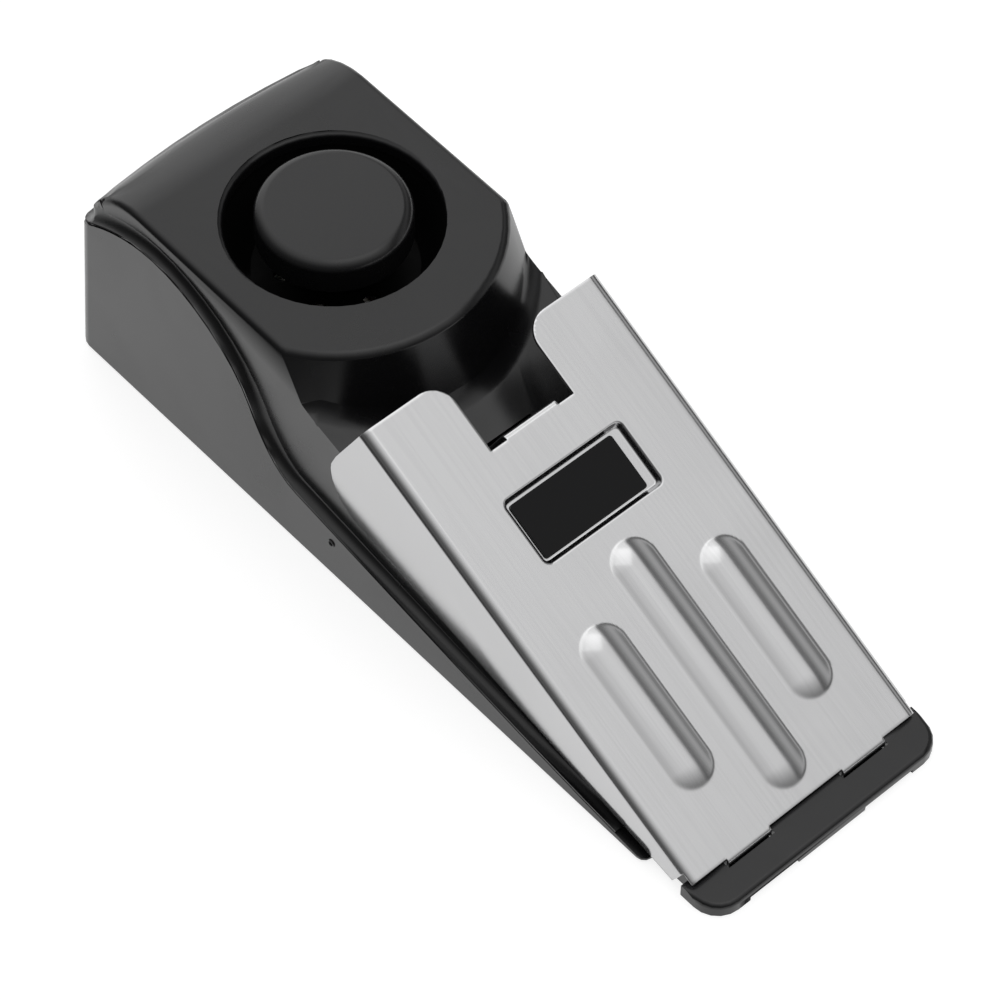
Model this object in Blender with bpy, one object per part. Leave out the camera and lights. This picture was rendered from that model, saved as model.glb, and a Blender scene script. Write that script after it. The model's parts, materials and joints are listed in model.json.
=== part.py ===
"""Wedge door stop alarm, built as its separate pieces. Metres, +Z up, toe towards +X.

Heights are above the floor. Places along the body are measured from the corners of its
rear face, and every piece is moved back when it is added to the scene, so that the
model's origin is at the middle of its footprint.
"""
import math

import bmesh
import bpy
from mathutils import Matrix, Vector

# Fits shared by all pieces
GAP = 0.0003
GLUE = 0.00015
OVERRUN = 0.004
EMBED = 0.0006
WELD = 0.000002
FLAT = math.radians(0.05)

# Body
BODY_BASE = 0.0006
WALL = 0.0018
FLOOR_WALL = 0.0024
SIDE_STEP = 0.0019
SIDE_DRAFT = math.radians(1.0)
REAR_LEAN = math.radians(5.0)
REAR_WALL = 0.0012
REAR_BOW = 0.0019
BOW_STEPS = 8
CORNER_RADIUS = 0.0025
FRONT_CORNER_RADIUS = 0.0015

# Battery and its bay
BATTERY_LENGTH = 0.0464
BATTERY_WIDTH = 0.0265
BATTERY_HEIGHT = 0.0175
BATTERY_EDGE = 0.0020
BATTERY_X = 0.0042
TERMINAL_PITCH = 0.0127
TERMINAL_RADIUS = 0.0028
TERMINAL_LENGTH = 0.0024
SNAP_THICKNESS = 0.0045
SNAP_WIDTH = 0.0245
SNAP_HEIGHT = 0.0125
BAY_WALL = 0.0012
LEAD_HOLE_RADIUS = 0.0025

# Battery door
DOOR_THICKNESS = 0.0017
DOOR_MARGIN = 0.0022
DOOR_TONGUE = 0.0012
DOOR_TONGUE_THICKNESS = 0.0008
DOOR_GRIP_START = 0.0040
DOOR_GRIP_COUNT = 4
DOOR_GRIP_PITCH = 0.0020
DOOR_GRIP_WIDTH = 0.0100
DOOR_GRIP_DEPTH = 0.0005

# Siren, stacked above the battery bay: can, horn, then the head's top and the cap
SIREN_SETBACK = 0.0210
CHAMBER_CLEARANCE = 0.0026
CHAMBER_DEPTH = 0.0058
HORN_DEPTH = 0.0105
SIREN_HOLE_RADIUS = 0.0163
HOLE_FILLET = 0.0007
HOLE_FILLET_STEPS = 3
RING_WIDTH = 0.00495
CAP_PROUD = 0.0029
CAP_EDGE = 0.0013
CAP_DEPTH = 0.0058
STEM_RADIUS = 0.0035
HORN_RIM_STEP = 0.0015
HORN_BASE_STEP = 0.0015
HORN_WALL = 0.0011
SOCKET_HEIGHT = 0.0035
HORN_FLOOR_WALL = 0.0015
SOUND_HOLE_RADIUS = 0.0014
SOUND_HOLE_INSET = 0.0068
SOUND_HOLES = 6
SIREN_STEPS = 48
CHAMBER_STEP = 0.0008
CHAMBER_WALL = 0.0011
DISC_INSET = 0.0020
DISC_THICKNESS = 0.0003
CERAMIC_INSET = 0.0035
DISC_STEP = 0.0009
RING_STEPS = 32

# Seam between the two housings, seen from the side: reaches are measured from the siren's
# axis and drops from the head's top
SEAM_REAR_DROP = 0.0116
SEAM_REAR_ANGLE = math.radians(38)
SEAM_PEAK_X = 0.0205
SEAM_PEAK_DROP = 0.0044
SEAM_STEEP_REACH = 0.0073
SEAM_STEEP_DROP = 0.0179
SEAM_STEEP_ANGLE = math.radians(-66)
SEAM_FOOT_REACH = 0.0175
SEAM_FOOT_HEIGHT = 0.0119
SEAM_SLOPE = math.radians(-9.2)
SEAM_END_SETBACK = 0.0140
SEAM_END_HEIGHT = 0.0010
SEAM_END_ANGLE = math.radians(-5.0)
SEAM_LIP = 0.0020
SEAM_STEPS = 8
SEAM_LAST_STEPS = 6

# Head of the upper housing
SIREN_RIM = 0.0053
HEAD_TILT = math.radians(1.0)
ROLL_RADIUS = 0.0120
ROLL_STEPS = 8
HEAD_CORNER_RADIUS = 0.0040
SHOULDER_RADIUS = 0.0010
SHOULDER_STEPS = 3
SHOULDER_SHARE = 0.7
HEAD_FRONT_RIM = 0.0090
HEAD_FRONT_REACH = 0.0313
CONE_ANGLE = math.radians(17.3)
COVE_LEDGE = 0.0003
COVE_RISE = 0.0020
COVE_END_RISE = 0.0002
COVE_STEPS = 4
COVE_END_SETBACK = 0.0200
COVE_ROOT = 0.0010
COVE_BITE = 0.00005
CORNER_STEPS = 5
CONE_STEPS = 64
CONE_WALL = 0.0019
CEILING = 0.0021
CAVITY_END_SETBACK = 0.0260

# Ramp and toe
RAMP_HEAD_REACH = 0.0153
RAMP_HEAD_DROP = 0.0081
RAMP_FOOT_SETBACK = 0.0060
TOE_THICKNESS = 0.0024
TOE_SETBACK = 0.0072
TOE_STEP = 0.0007
TOE_CORNER_RADIUS = 0.0045
TOE_FLOOR = 0.0010
FLOOR_SLOPE_SETBACK = 0.0380
TOE_RELIEF = 0.0008

# Pressure plate
SHEET = 0.0006
PLATE_RUN = 0.0693
PLATE_SETBACK = 0.0057
PLATE_FRONT_HEIGHT = 0.00342
PLATE_REAR_REACH = 0.0323
PLATE_REAR_DROP = 0.0009
PLATE_BEND_RADIUS = 0.0009
PLATE_CORNER_RADIUS = 0.0040
NOTCH_WIDTH = 0.0157
NOTCH_DEPTH = 0.0124
FLANGE_DEPTH = 0.0211
HEEL_LENGTH = 0.0103
FLANGE_HEEL_SHARES = ((-0.022, 0.594), (0.0, 0.727), (0.090, 0.822), (0.267, 0.915), (0.452, 0.975),
                      (0.688, 1.0), (1.0, 0.985))
FLANGE_FRONT_SETBACK = 0.0091
FLANGE_FRONT_HEIGHT = 0.0009
FLANGE_TIP_ALONG = 0.0018
BEND_STEPS = 4
TAB_WIDTH = 0.0083
TAB_PITCH = 0.0226
TAB_ROOT = 0.0010
HINGE_HEIGHT = 0.0011
HOOK_LENGTH = 0.0018
HOOK_HEIGHT = 0.0003

# Rib pressings and label pocket, in the plate
RIB_WIDTH = 0.0062
RIB_RISE = 0.0016
RIB_PITCH = 0.0113
RIB_STEPS = 6
RIB_CURVE = 0.0050
RIB_START = 0.0105
SIDE_RIB_SETBACK = 0.0119
MIDDLE_RIB_START = 0.0030
MIDDLE_RIB_SETBACK = 0.0049
POCKET_SETBACK = 0.00688
POCKET_LENGTH = 0.0110
POCKET_WIDTH = 0.0225
POCKET_DEPTH = 0.0012
POCKET_BEVEL = 0.0006
POCKET_CORNER_RADIUS = 0.0010
LABEL_THICKNESS = 0.0003
LABEL_MARGIN = 0.0015

# Catch tongue below the notch
TONGUE_WIDTH = 0.0098
CATCH_REACH = 0.0032
CATCH_CLEARANCE = 0.00039
SLOT_PLAY = 0.0014

# Return spring
SPRING_RADIUS = 0.0034
SPRING_WIRE = 0.00035
SPRING_TURNS = 6
SPRING_DEPTH = 0.0122
SPRING_SIDES = 24
SPRING_WIRE_SIDES = 6
SPRING_POINTS = 9
CUP_WALL = 0.0012

# Rear switches
SWITCH_PITCH = 0.0180
SWITCH_RISE = 0.0029
SWITCH_LENGTH = 0.0090
SWITCH_BODY_HEIGHT = 0.0036
SWITCH_DEPTH = 0.0032
KNOB_WIDTH = 0.0032
KNOB_HEIGHT = 0.0026
KNOB_REACH = 0.0016
POWER_TRAVEL = 0.0025
SENSITIVITY_TRAVEL = 0.0040
BOARD_THICKNESS = 0.0012
SWITCH_BOARD_WIDTH = 0.0320
SWITCH_BOARD_HEIGHT = 0.0052

# Main circuit board
PCB_CLEARANCE = 0.0063
PCB_LENGTH = 0.0350
PCB_WIDTH = 0.0300
PCB_HEIGHT = 0.0080
PCB_THICKNESS = 0.0016
POST_RADIUS = 0.0024
POST_INSET = 0.0028
POST_HOLE_RADIUS = 0.0009
PCB_SCREW_HEAD = 0.0018
PCB_SCREW_HEAD_HEIGHT = 0.0012
PCB_SCREW_LENGTH = 0.0050

# Trigger switch
TRIGGER_LENGTH = 0.0128
TRIGGER_WIDTH = 0.0058
TRIGGER_HEIGHT = 0.0065
TRIGGER_INSET = 0.0008
LEVER_PIVOT_INSET = 0.0016
LEVER_PIVOT_RISE = 0.0007
LEVER_LENGTH = 0.0110
LEVER_ANGLE = math.radians(19.9)
LEVER_WIDTH = 0.0036
LEVER_THICKNESS = 0.0003
LEVER_LUG = 0.0004
BUTTON_INSET = 0.0038
BUTTON_LENGTH = 0.0016
BUTTON_WIDTH = 0.0022
BUTTON_SINK = 0.0014
BUTTON_PROUD = 0.0010
BUTTON_TRAVEL = 0.0008

# Parts on the main board: places are shares of the board, sizes are real
COIL_RADIUS = 0.0040
COIL_HEIGHT = 0.0070
COIL_FLANGE = 0.0009
CAPACITOR_RADIUS = 0.0025
CAPACITOR_HEIGHT = 0.0060
TRANSISTOR_RADIUS = 0.0023
TRANSISTOR_HEIGHT = 0.0045
CHIP_LENGTH = 0.0050
CHIP_WIDTH = 0.0040
CHIP_HEIGHT = 0.0015
RESISTOR_RADIUS = 0.0010
RESISTOR_WAIST = 0.0008
RESISTOR_LENGTH = 0.0036
RESISTOR_PITCH = 0.0035
COIL_SHARES = (0.24, 0.20)
CAPACITOR_SHARES = (0.50, 0.16)
TRANSISTOR_SHARES = (0.36, 0.84)
CHIP_SHARES = (0.80, 0.50)
RESISTOR_SHARES = (0.66, 0.80)

# Fasteners and feet
REAR_SCREW_SETBACK = 0.0027
FRONT_SCREW_REACH = 0.0031
SCREW_SIDE_GAP = 0.0021
SCREW_RADIUS = 0.0012
SCREW_HEAD_RADIUS = 0.0023
SCREW_HEAD_HEIGHT = 0.0011
SCREW_BITE = 0.0040
BOSS_RADIUS = 0.0024
LOWER_BOSS_RADIUS = 0.0034
BOSS_JOINT = 0.0070
FRONT_BOSS_JOINT = 0.0048
SCREW_SIDES = 16
FOOT_EDGE = 0.0013
FOOT_X = 0.0065
PAD_REACH = 0.0028
PAD_LENGTH = 0.0330
PAD_WIDTH = 0.0240
PAD_SINK = 0.0009
PAD_CORNER_RADIUS = 0.0030

# Leads
LEAD_RADIUS = 0.0006
SIREN_LEAD_RADIUS = 0.0005
LEAD_PITCH = 0.0010
LEAD_SIDES = 8
ROUTE_STEPS = 4
LEAD_LANDING = 0.0024
SIREN_LEAD_END = 0.0040
RIBBON_WIDTH = 0.0050
RIBBON_THICKNESS = 0.0007
RIBBON_Y = 0.0078

# Heights worked out from the sizes above, from the floor upwards
FLOOR_TOP = BODY_BASE + WALL
BAY_FLOOR_TOP = BODY_BASE + FLOOR_WALL
BATTERY_BASE = BODY_BASE + DOOR_THICKNESS + GAP
BATTERY_TOP = BATTERY_BASE + BATTERY_HEIGHT
BAY_TOP = BATTERY_TOP + GAP
BAY_ROOF = BAY_TOP + BAY_WALL
SWITCH_HEIGHT = BAY_ROOF + SWITCH_RISE
CHAMBER_FLOOR = BAY_ROOF + CHAMBER_CLEARANCE
HORN_FLOOR = CHAMBER_FLOOR + CHAMBER_DEPTH
HEAD_TOP = HORN_FLOOR + HORN_DEPTH
CAP_HEIGHT = HEAD_TOP + CAP_PROUD
SEAM_REAR_HEIGHT = HEAD_TOP - SEAM_REAR_DROP
SEAM_PEAK_HEIGHT = HEAD_TOP - SEAM_PEAK_DROP
SEAM_STEEP_HEIGHT = HEAD_TOP - SEAM_STEEP_DROP
RAMP_HEAD_HEIGHT = HEAD_TOP - RAMP_HEAD_DROP
PLATE_REAR_HEIGHT = HEAD_TOP - PLATE_REAR_DROP
PCB_TOP = PCB_HEIGHT + PCB_THICKNESS

# Places along the body, from the rear face forwards
HEAD_REAR = (SEAM_REAR_HEIGHT - BODY_BASE) * math.tan(REAR_LEAN) + REAR_WALL + GAP
BOW_END = HEAD_REAR + ROLL_RADIUS
BOW_START = HEAD_REAR + ROLL_RADIUS / 4
BATTERY_END = BATTERY_X + BATTERY_LENGTH
SNAP_X = BATTERY_END + GAP
BAY_REAR = BATTERY_X - GAP
BAY_FRONT = SNAP_X + SNAP_THICKNESS + GAP
DOOR_END = BAY_FRONT
SIREN_X = BAY_FRONT - SIREN_SETBACK
SEAM_STEEP_X = SIREN_X + SEAM_STEEP_REACH
SEAM_FOOT_X = SIREN_X + SEAM_FOOT_REACH
HEAD_FRONT_X = SIREN_X + HEAD_FRONT_REACH
RAMP_HEAD_X = SIREN_X + RAMP_HEAD_REACH
PLATE_REAR_X = SIREN_X + PLATE_REAR_REACH
PLATE_FRONT_X = PLATE_REAR_X + PLATE_RUN
LENGTH = PLATE_FRONT_X + PLATE_SETBACK
BODY_END = LENGTH - SEAM_END_SETBACK
RAMP_FOOT_X = LENGTH - RAMP_FOOT_SETBACK
RAMP_SLOPE = (RAMP_HEAD_HEIGHT - TOE_THICKNESS) / (RAMP_FOOT_X - RAMP_HEAD_X)
HINGE_X = PLATE_FRONT_X + SHEET / 2
PCB_START = BAY_FRONT + BAY_WALL + PCB_CLEARANCE
TRIGGER_X = PCB_START + TRIGGER_INSET
PAD_START = PCB_START + PAD_REACH
SCREW_X = (PCB_START - REAR_SCREW_SETBACK, PCB_START + PCB_LENGTH + FRONT_SCREW_REACH)

# Places across the body, from its middle outwards
HALF_HEAD = SIREN_HOLE_RADIUS + SIREN_RIM
HALF_INNER = HALF_HEAD - WALL
HALF_BODY = HALF_HEAD + SIDE_STEP
HALF_TOE = HALF_BODY - TOE_STEP
FLANGE_INNER = HALF_HEAD + GAP
HALF_PLATE = FLANGE_INNER + SHEET
HEAD_FRONT_RADIUS = SIREN_HOLE_RADIUS + HEAD_FRONT_RIM
CAP_RADIUS = SIREN_HOLE_RADIUS - RING_WIDTH
HORN_RIM_RADIUS = SIREN_HOLE_RADIUS + HORN_RIM_STEP
HORN_BASE_RADIUS = SIREN_HOLE_RADIUS - HORN_BASE_STEP
SOUND_HOLE_CIRCLE = HORN_BASE_RADIUS - SOUND_HOLE_INSET
CHAMBER_RADIUS = SIREN_HOLE_RADIUS - CHAMBER_STEP
DISC_RADIUS = CHAMBER_RADIUS - DISC_INSET
CERAMIC_RADIUS = DISC_RADIUS - CERAMIC_INSET
BAY_HALF = BATTERY_WIDTH / 2 + GAP
DOOR_HALF = BAY_HALF + DOOR_MARGIN
DOOR_GROOVE = DOOR_HALF + DOOR_TONGUE + GAP
FOOT_Y = (DOOR_GROOVE + HALF_BODY) / 2
FOOT_RADIUS = (HALF_BODY - DOOR_GROOVE) / 2 - FOOT_EDGE
SCREW_Y = HALF_INNER - SCREW_SIDE_GAP

# The plate, along its own slope
PLATE_ANGLE = math.atan2(PLATE_REAR_HEIGHT - PLATE_FRONT_HEIGHT, PLATE_RUN)
PLATE_LENGTH = math.hypot(PLATE_REAR_HEIGHT - PLATE_FRONT_HEIGHT, PLATE_RUN)
TONGUE_PLACE = PLATE_LENGTH - NOTCH_DEPTH
POCKET_START = TONGUE_PLACE - POCKET_SETBACK - POCKET_LENGTH
SIDE_RIB_LENGTH = POCKET_START - SIDE_RIB_SETBACK - RIB_START
MIDDLE_RIB_LENGTH = POCKET_START - MIDDLE_RIB_SETBACK - MIDDLE_RIB_START


def remove_old_objects():
    for item in list(bpy.data.objects):
        bpy.data.objects.remove(item, do_unlink=True)


def finish(name, colour, roughness, metallic=0.0):
    """A plain Principled material."""
    made = bpy.data.materials.new(name)
    made.use_nodes = True
    shader = made.node_tree.nodes["Principled BSDF"]
    shader.inputs["Base Color"].default_value = (*colour, 1.0)
    shader.inputs["Roughness"].default_value = roughness
    shader.inputs["Metallic"].default_value = metallic
    return made


def add_piece(name, shape, material, pivot=(0, 0, 0), crease=math.radians(32)):
    """Turn a bmesh into a named object whose origin is on its pivot."""
    pivot = Vector(pivot)
    bmesh.ops.translate(shape, verts=shape.verts, vec=-pivot)
    mesh = bpy.data.meshes.new(name)
    shape.to_mesh(mesh)
    shape.free()
    mesh.shade_smooth()
    mesh.set_sharp_from_angle(angle=crease)
    mesh.materials.append(material)
    item = bpy.data.objects.new(name, mesh)
    item.location = pivot - Vector(((LENGTH - REAR_BOW) / 2, 0, 0))
    bpy.context.scene.collection.objects.link(item)
    return item


# Basic solids

def extrude_outline(corners, step):
    """Close an outline with a face and push it along step."""
    shape = bmesh.new()
    ring = [shape.verts.new(corner) for corner in corners]
    face = shape.faces.new(ring)
    pushed = bmesh.ops.extrude_face_region(shape, geom=[face])
    moved = [part for part in pushed["geom"] if isinstance(part, bmesh.types.BMVert)]
    bmesh.ops.translate(shape, verts=moved, vec=step)
    bmesh.ops.recalc_face_normals(shape, faces=shape.faces)
    return shape


def prism(outline, half_width, middle=0):
    """An outline in X and Z, as thick as twice half_width along Y."""
    corners = [(x, middle - half_width, z) for x, z in outline]
    return extrude_outline(corners, (0, 2 * half_width, 0))


def slab(outline, low, high):
    """An outline in X and Y, from one height to another."""
    return extrude_outline([(x, y, low) for x, y in outline], (0, 0, high - low))


def block(x_range, y_range, z_range):
    outline = [(x_range[0], y_range[0]), (x_range[1], y_range[0]),
               (x_range[1], y_range[1]), (x_range[0], y_range[1])]
    return slab(outline, *z_range)


def centred_block(x_range, half_width, z_range):
    return block(x_range, (-half_width, half_width), z_range)


def arc(centre, radius, start, end, steps):
    """Points on an arc, from one angle to another."""
    angles = [start + (end - start) * step / steps for step in range(steps + 1)]
    return [(centre[0] + radius * math.cos(a), centre[1] + radius * math.sin(a)) for a in angles]


def rounded_rectangle(x_range, y_range, radius, steps=4):
    turns = ((x_range[1], y_range[1], -1, -1, 0), (x_range[0], y_range[1], 1, -1, 1),
             (x_range[0], y_range[0], 1, 1, 2), (x_range[1], y_range[0], -1, 1, 3))
    outline = []
    for x, y, side_x, side_y, quarter in turns:
        centre = (x + side_x * radius, y + side_y * radius)
        outline += arc(centre, radius, quarter * math.pi / 2, (quarter + 1) * math.pi / 2, steps)
    return outline


def disc_outline(x, y, radius, steps=RING_STEPS):
    return arc((x, y), radius, 0, 2 * math.pi, steps)[:-1]


def rod(x, y, radius, low, high, steps=RING_STEPS):
    return slab(disc_outline(x, y, radius, steps), low, high)


def turned(profile, x, y, steps=RING_STEPS):
    """Spin a closed profile of (radius, height) points about an upright axis."""
    shape = bmesh.new()
    ring = [shape.verts.new((x + radius, y, height)) for radius, height in profile]
    edges = [shape.edges.new((ring[i - 1], ring[i])) for i in range(len(ring))]
    bmesh.ops.spin(shape, geom=ring + edges, cent=(x, y, 0), axis=(0, 0, 1),
                   angle=2 * math.pi, steps=steps, use_merge=True)
    bmesh.ops.remove_doubles(shape, verts=shape.verts, dist=WELD)
    bmesh.ops.dissolve_degenerate(shape, dist=WELD, edges=shape.edges)
    loose = [edge for edge in shape.edges if not edge.link_faces]
    bmesh.ops.delete(shape, geom=loose, context="EDGES")
    bmesh.ops.recalc_face_normals(shape, faces=shape.faces)
    return shape


def loft(rings):
    """Skin a row of closed rings and cap both ends."""
    shape = bmesh.new()
    rows = [[shape.verts.new(point) for point in ring] for ring in rings]
    for low, high in zip(rows, rows[1:]):
        for i in range(len(low)):
            shape.faces.new((low[i - 1], low[i], high[i], high[i - 1]))
    shape.faces.new(rows[0])
    shape.faces.new(rows[-1])
    bmesh.ops.recalc_face_normals(shape, faces=shape.faces)
    return shape


def smooth_route(points, steps):
    """Points on a smooth curve through the route's own points."""
    row = [Vector(point) for point in points]
    row = [2 * row[0] - row[1]] + row + [2 * row[-1] - row[-2]]
    path = []
    for a, b, c, d in zip(row, row[1:], row[2:], row[3:]):
        for step in range(steps):
            t = step / steps
            path.append(((2 * b) + (c - a) * t + (2 * a - 5 * b + 4 * c - d) * t ** 2
                         + (3 * b - a - 3 * c + d) * t ** 3) / 2)
    path.append(row[-2])
    return path


def tube(path, radius, sides):
    """A round wire along a path, with closed ends."""
    rings = []
    up = Vector((0, 0, 1))
    for i, place in enumerate(path):
        ahead = (path[min(i + 1, len(path) - 1)] - path[max(i - 1, 0)]).normalized()
        across = up.cross(ahead).normalized()
        up = ahead.cross(across)
        angles = [2 * math.pi * side / sides for side in range(sides)]
        rings.append([place + radius * (math.cos(a) * across + math.sin(a) * up) for a in angles])
    return loft(rings)


# Joining and cutting

def combine(base, tool, operation):
    """Join or cut two solids with an exact Boolean, and give back the result."""
    items = []
    for shape in (base, tool):
        mesh = bpy.data.meshes.new("work")
        shape.to_mesh(mesh)
        shape.free()
        item = bpy.data.objects.new("work", mesh)
        bpy.context.scene.collection.objects.link(item)
        items.append(item)
    modifier = items[0].modifiers.new("combine", "BOOLEAN")
    modifier.operation = operation
    modifier.solver = "EXACT"
    modifier.object = items[1]
    made = bmesh.new()
    made.from_object(items[0], bpy.context.evaluated_depsgraph_get())
    for item in items:
        mesh = item.data
        bpy.data.objects.remove(item, do_unlink=True)
        bpy.data.meshes.remove(mesh)
    bmesh.ops.remove_doubles(made, verts=made.verts, dist=WELD)
    bmesh.ops.dissolve_limit(made, angle_limit=FLAT, verts=made.verts, edges=made.edges)
    loose = [edge for edge in made.edges if not edge.link_faces]
    bmesh.ops.delete(made, geom=loose, context="EDGES")
    return made


def join(base, *tools):
    for tool in tools:
        base = combine(base, tool, "UNION")
    return base


def cut(base, *tools):
    for tool in tools:
        base = combine(base, tool, "DIFFERENCE")
    return base


def common(base, tool):
    return combine(base, tool, "INTERSECT")


# Lines that the housings share

def hermite(start, start_angle, end, end_angle, steps):
    """A smooth stretch between two points with a slope at each end."""
    reach = math.hypot(end[0] - start[0], end[1] - start[1])
    points = []
    for step in range(1, steps + 1):
        t = step / steps
        weights = (2 * t ** 3 - 3 * t ** 2 + 1, t ** 3 - 2 * t ** 2 + t,
                   3 * t ** 2 - 2 * t ** 3, t ** 3 - t ** 2)
        point = []
        for axis, turn in enumerate((math.cos, math.sin)):
            point.append(weights[0] * start[axis] + weights[1] * reach * turn(start_angle)
                         + weights[2] * end[axis] + weights[3] * reach * turn(end_angle))
        points.append(tuple(point))
    return points


def rear_x(height):
    """The leaning rear face, as a place along the body."""
    return (height - BODY_BASE) * math.tan(REAR_LEAN)


def seam_line():
    """The curved joint line, from the rear face to the body's front end."""
    rear = (rear_x(SEAM_REAR_HEIGHT), SEAM_REAR_HEIGHT)
    peak = (SEAM_PEAK_X, SEAM_PEAK_HEIGHT)
    steep = (SEAM_STEEP_X, SEAM_STEEP_HEIGHT)
    foot = (SEAM_FOOT_X, SEAM_FOOT_HEIGHT)
    line = [rear]
    line += hermite(rear, SEAM_REAR_ANGLE, peak, 0, SEAM_STEPS)
    line += hermite(peak, 0, steep, SEAM_STEEP_ANGLE, SEAM_STEPS)
    line += hermite(steep, SEAM_STEEP_ANGLE, foot, SEAM_SLOPE, SEAM_STEPS)
    line += hermite(foot, SEAM_SLOPE, (BODY_END, SEAM_END_HEIGHT), SEAM_END_ANGLE, SEAM_LAST_STEPS)
    return line


def seam_height(x):
    line = seam_line()
    for (x0, z0), (x1, z1) in zip(line, line[1:]):
        if x <= x1:
            return z0 + (z1 - z0) * (x - x0) / (x1 - x0)
    return line[-1][1]


def ramp_height(x):
    return TOE_THICKNESS + (RAMP_FOOT_X - x) * RAMP_SLOPE


def head_top(x):
    return HEAD_TOP - (x - SIREN_X) * math.tan(HEAD_TILT)


def floor_height(x):
    """Top of the lower housing's floor, which thins towards the toe."""
    start = LENGTH - FLOOR_SLOPE_SETBACK
    share = max(0, (x - start) / (BODY_END - start))
    return FLOOR_TOP + (TOE_FLOOR - FLOOR_TOP) * share


def lip_height(x):
    """Lower edge of the upper housing's skirt, inside the lower housing."""
    return max(seam_height(x) - SEAM_LIP, floor_height(x) + GAP)


def lip_line(start, end):
    places = [start] + [x for x, z in seam_line() if start < x < end] + [end]
    return [(x, lip_height(x)) for x in places]


def plate_point(along, y=0, above=0):
    """A point of the plate: along it from its front edge, across, and above its face."""
    return (PLATE_FRONT_X - along * math.cos(PLATE_ANGLE) + above * math.sin(PLATE_ANGLE), y,
            PLATE_FRONT_HEIGHT + along * math.sin(PLATE_ANGLE) + above * math.cos(PLATE_ANGLE))


def on_plate(shape):
    """Lay a shape drawn flat (X forward from the plate's front edge, Z up) on the plate."""
    turn = Matrix.Rotation(PLATE_ANGLE, 4, "Y")
    move = Matrix.Translation((PLATE_FRONT_X, 0, PLATE_FRONT_HEIGHT))
    bmesh.ops.transform(shape, matrix=move @ turn, verts=shape.verts)
    return shape


def bow_at(y):
    """How far the rear bulges out at a place across the body."""
    return REAR_BOW * max(0, 1 - (y / HALF_BODY) ** 2)


def bowed(shape):
    """Bulge the rear of a solid outwards in plan, fading out along the head's roll."""
    for step in range(1, BOW_STEPS):
        y = HALF_BODY * (2 * step / BOW_STEPS - 1)
        parts = list(shape.verts) + list(shape.edges) + list(shape.faces)
        bmesh.ops.bisect_plane(shape, geom=parts, dist=WELD, plane_co=(0, y, 0), plane_no=(0, 1, 0))
    for vert in shape.verts:
        share = (BOW_END - vert.co.x) / (BOW_END - BOW_START)
        vert.co.x -= bow_at(vert.co.y) * max(0, min(1, share))
    uneven = [face for face in shape.faces if len(face.verts) > 3 and not is_flat(face)]
    bmesh.ops.triangulate(shape, faces=uneven)
    return shape


def is_flat(face):
    middle = face.calc_center_median()
    return all(abs((vert.co - middle).dot(face.normal)) < WELD / 100 for vert in face.verts)


# Lower housing

def drafted(shape):
    """Lean the sides of a solid inwards towards the top."""
    for vert in shape.verts:
        vert.co.y -= math.copysign((vert.co.z - BODY_BASE) * math.tan(SIDE_DRAFT), vert.co.y)
    return shape


def lower_shell():
    """Outside of the lower housing, up to the seam."""
    outline = [(rear_x(BODY_BASE), BODY_BASE)] + seam_line() + [(BODY_END, BODY_BASE)]
    shell = drafted(prism(outline, HALF_BODY))
    corners = leaning_corners(HALF_BODY, CORNER_RADIUS, BODY_BASE - OVERRUN, SEAM_PEAK_HEIGHT + OVERRUN,
                              BODY_END, FRONT_CORNER_RADIUS)
    return bowed(common(shell, corners))


def leaning_corners(half, rear_radius, low, high, end_x, front_radius):
    """An upright block that follows the rear lean and the side draft, with round corners."""
    rings = []
    for height in (low, high):
        side = half - (height - BODY_BASE) * math.tan(SIDE_DRAFT)
        x0 = rear_x(height)
        ring = arc((x0 + rear_radius, side - rear_radius), rear_radius, math.pi / 2, math.pi, 4)
        ring += arc((x0 + rear_radius, rear_radius - side), rear_radius, math.pi, 3 * math.pi / 2, 4)
        ring += arc((end_x - front_radius, front_radius - side), front_radius, -math.pi / 2, 0, 3)
        ring += arc((end_x - front_radius, side - front_radius), front_radius, 0, math.pi / 2, 3)
        rings.append([(x, y, height) for x, y in ring])
    return loft(rings)


def lower_cavity():
    """Room inside the lower housing, above its floor and round the upper one's skirt."""
    high = SEAM_PEAK_HEIGHT + OVERRUN
    slope_start = LENGTH - FLOOR_SLOPE_SETBACK
    inner_top = (rear_x(SEAM_REAR_HEIGHT) + REAR_WALL, SEAM_REAR_HEIGHT)
    outline = [(rear_x(FLOOR_TOP) + REAR_WALL, FLOOR_TOP), (slope_start, FLOOR_TOP), (BODY_END, TOE_FLOOR),
               (BODY_END + OVERRUN, TOE_FLOOR), (BODY_END + OVERRUN, high), (inner_top[0], high), inner_top]
    return bowed(prism(outline, FLANGE_INNER))


def bay_box(inset, top):
    return centred_block((BAY_REAR - inset, BAY_FRONT + inset), BAY_HALF + inset, (BODY_BASE + GAP, top))


def boss_places():
    return [(x, side * SCREW_Y) for x in SCREW_X for side in (-1, 1)]


def boss_joint(x):
    return BOSS_JOINT if x < PCB_START else FRONT_BOSS_JOINT


def post_places():
    inset_x = POST_INSET
    half = PCB_WIDTH / 2 - POST_INSET
    return [(x, side * half) for x in (PCB_START + inset_x, PCB_START + PCB_LENGTH - inset_x)
            for side in (-1, 1)]


def switch_slot(y, travel):
    """Window in the rear wall for a knob and its travel."""
    half = KNOB_WIDTH / 2 + GAP
    return block((-OVERRUN, rear_x(SWITCH_HEIGHT) + OVERRUN + WALL),
                 (y - half, y + half + travel),
                 (SWITCH_HEIGHT - KNOB_HEIGHT / 2 - GAP, SWITCH_HEIGHT + KNOB_HEIGHT / 2 + GAP))


def door_outline(clearance):
    """The battery door and its two side tongues, in plan."""
    return DOOR_HALF + clearance, DOOR_HALF + DOOR_TONGUE + clearance


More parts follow.
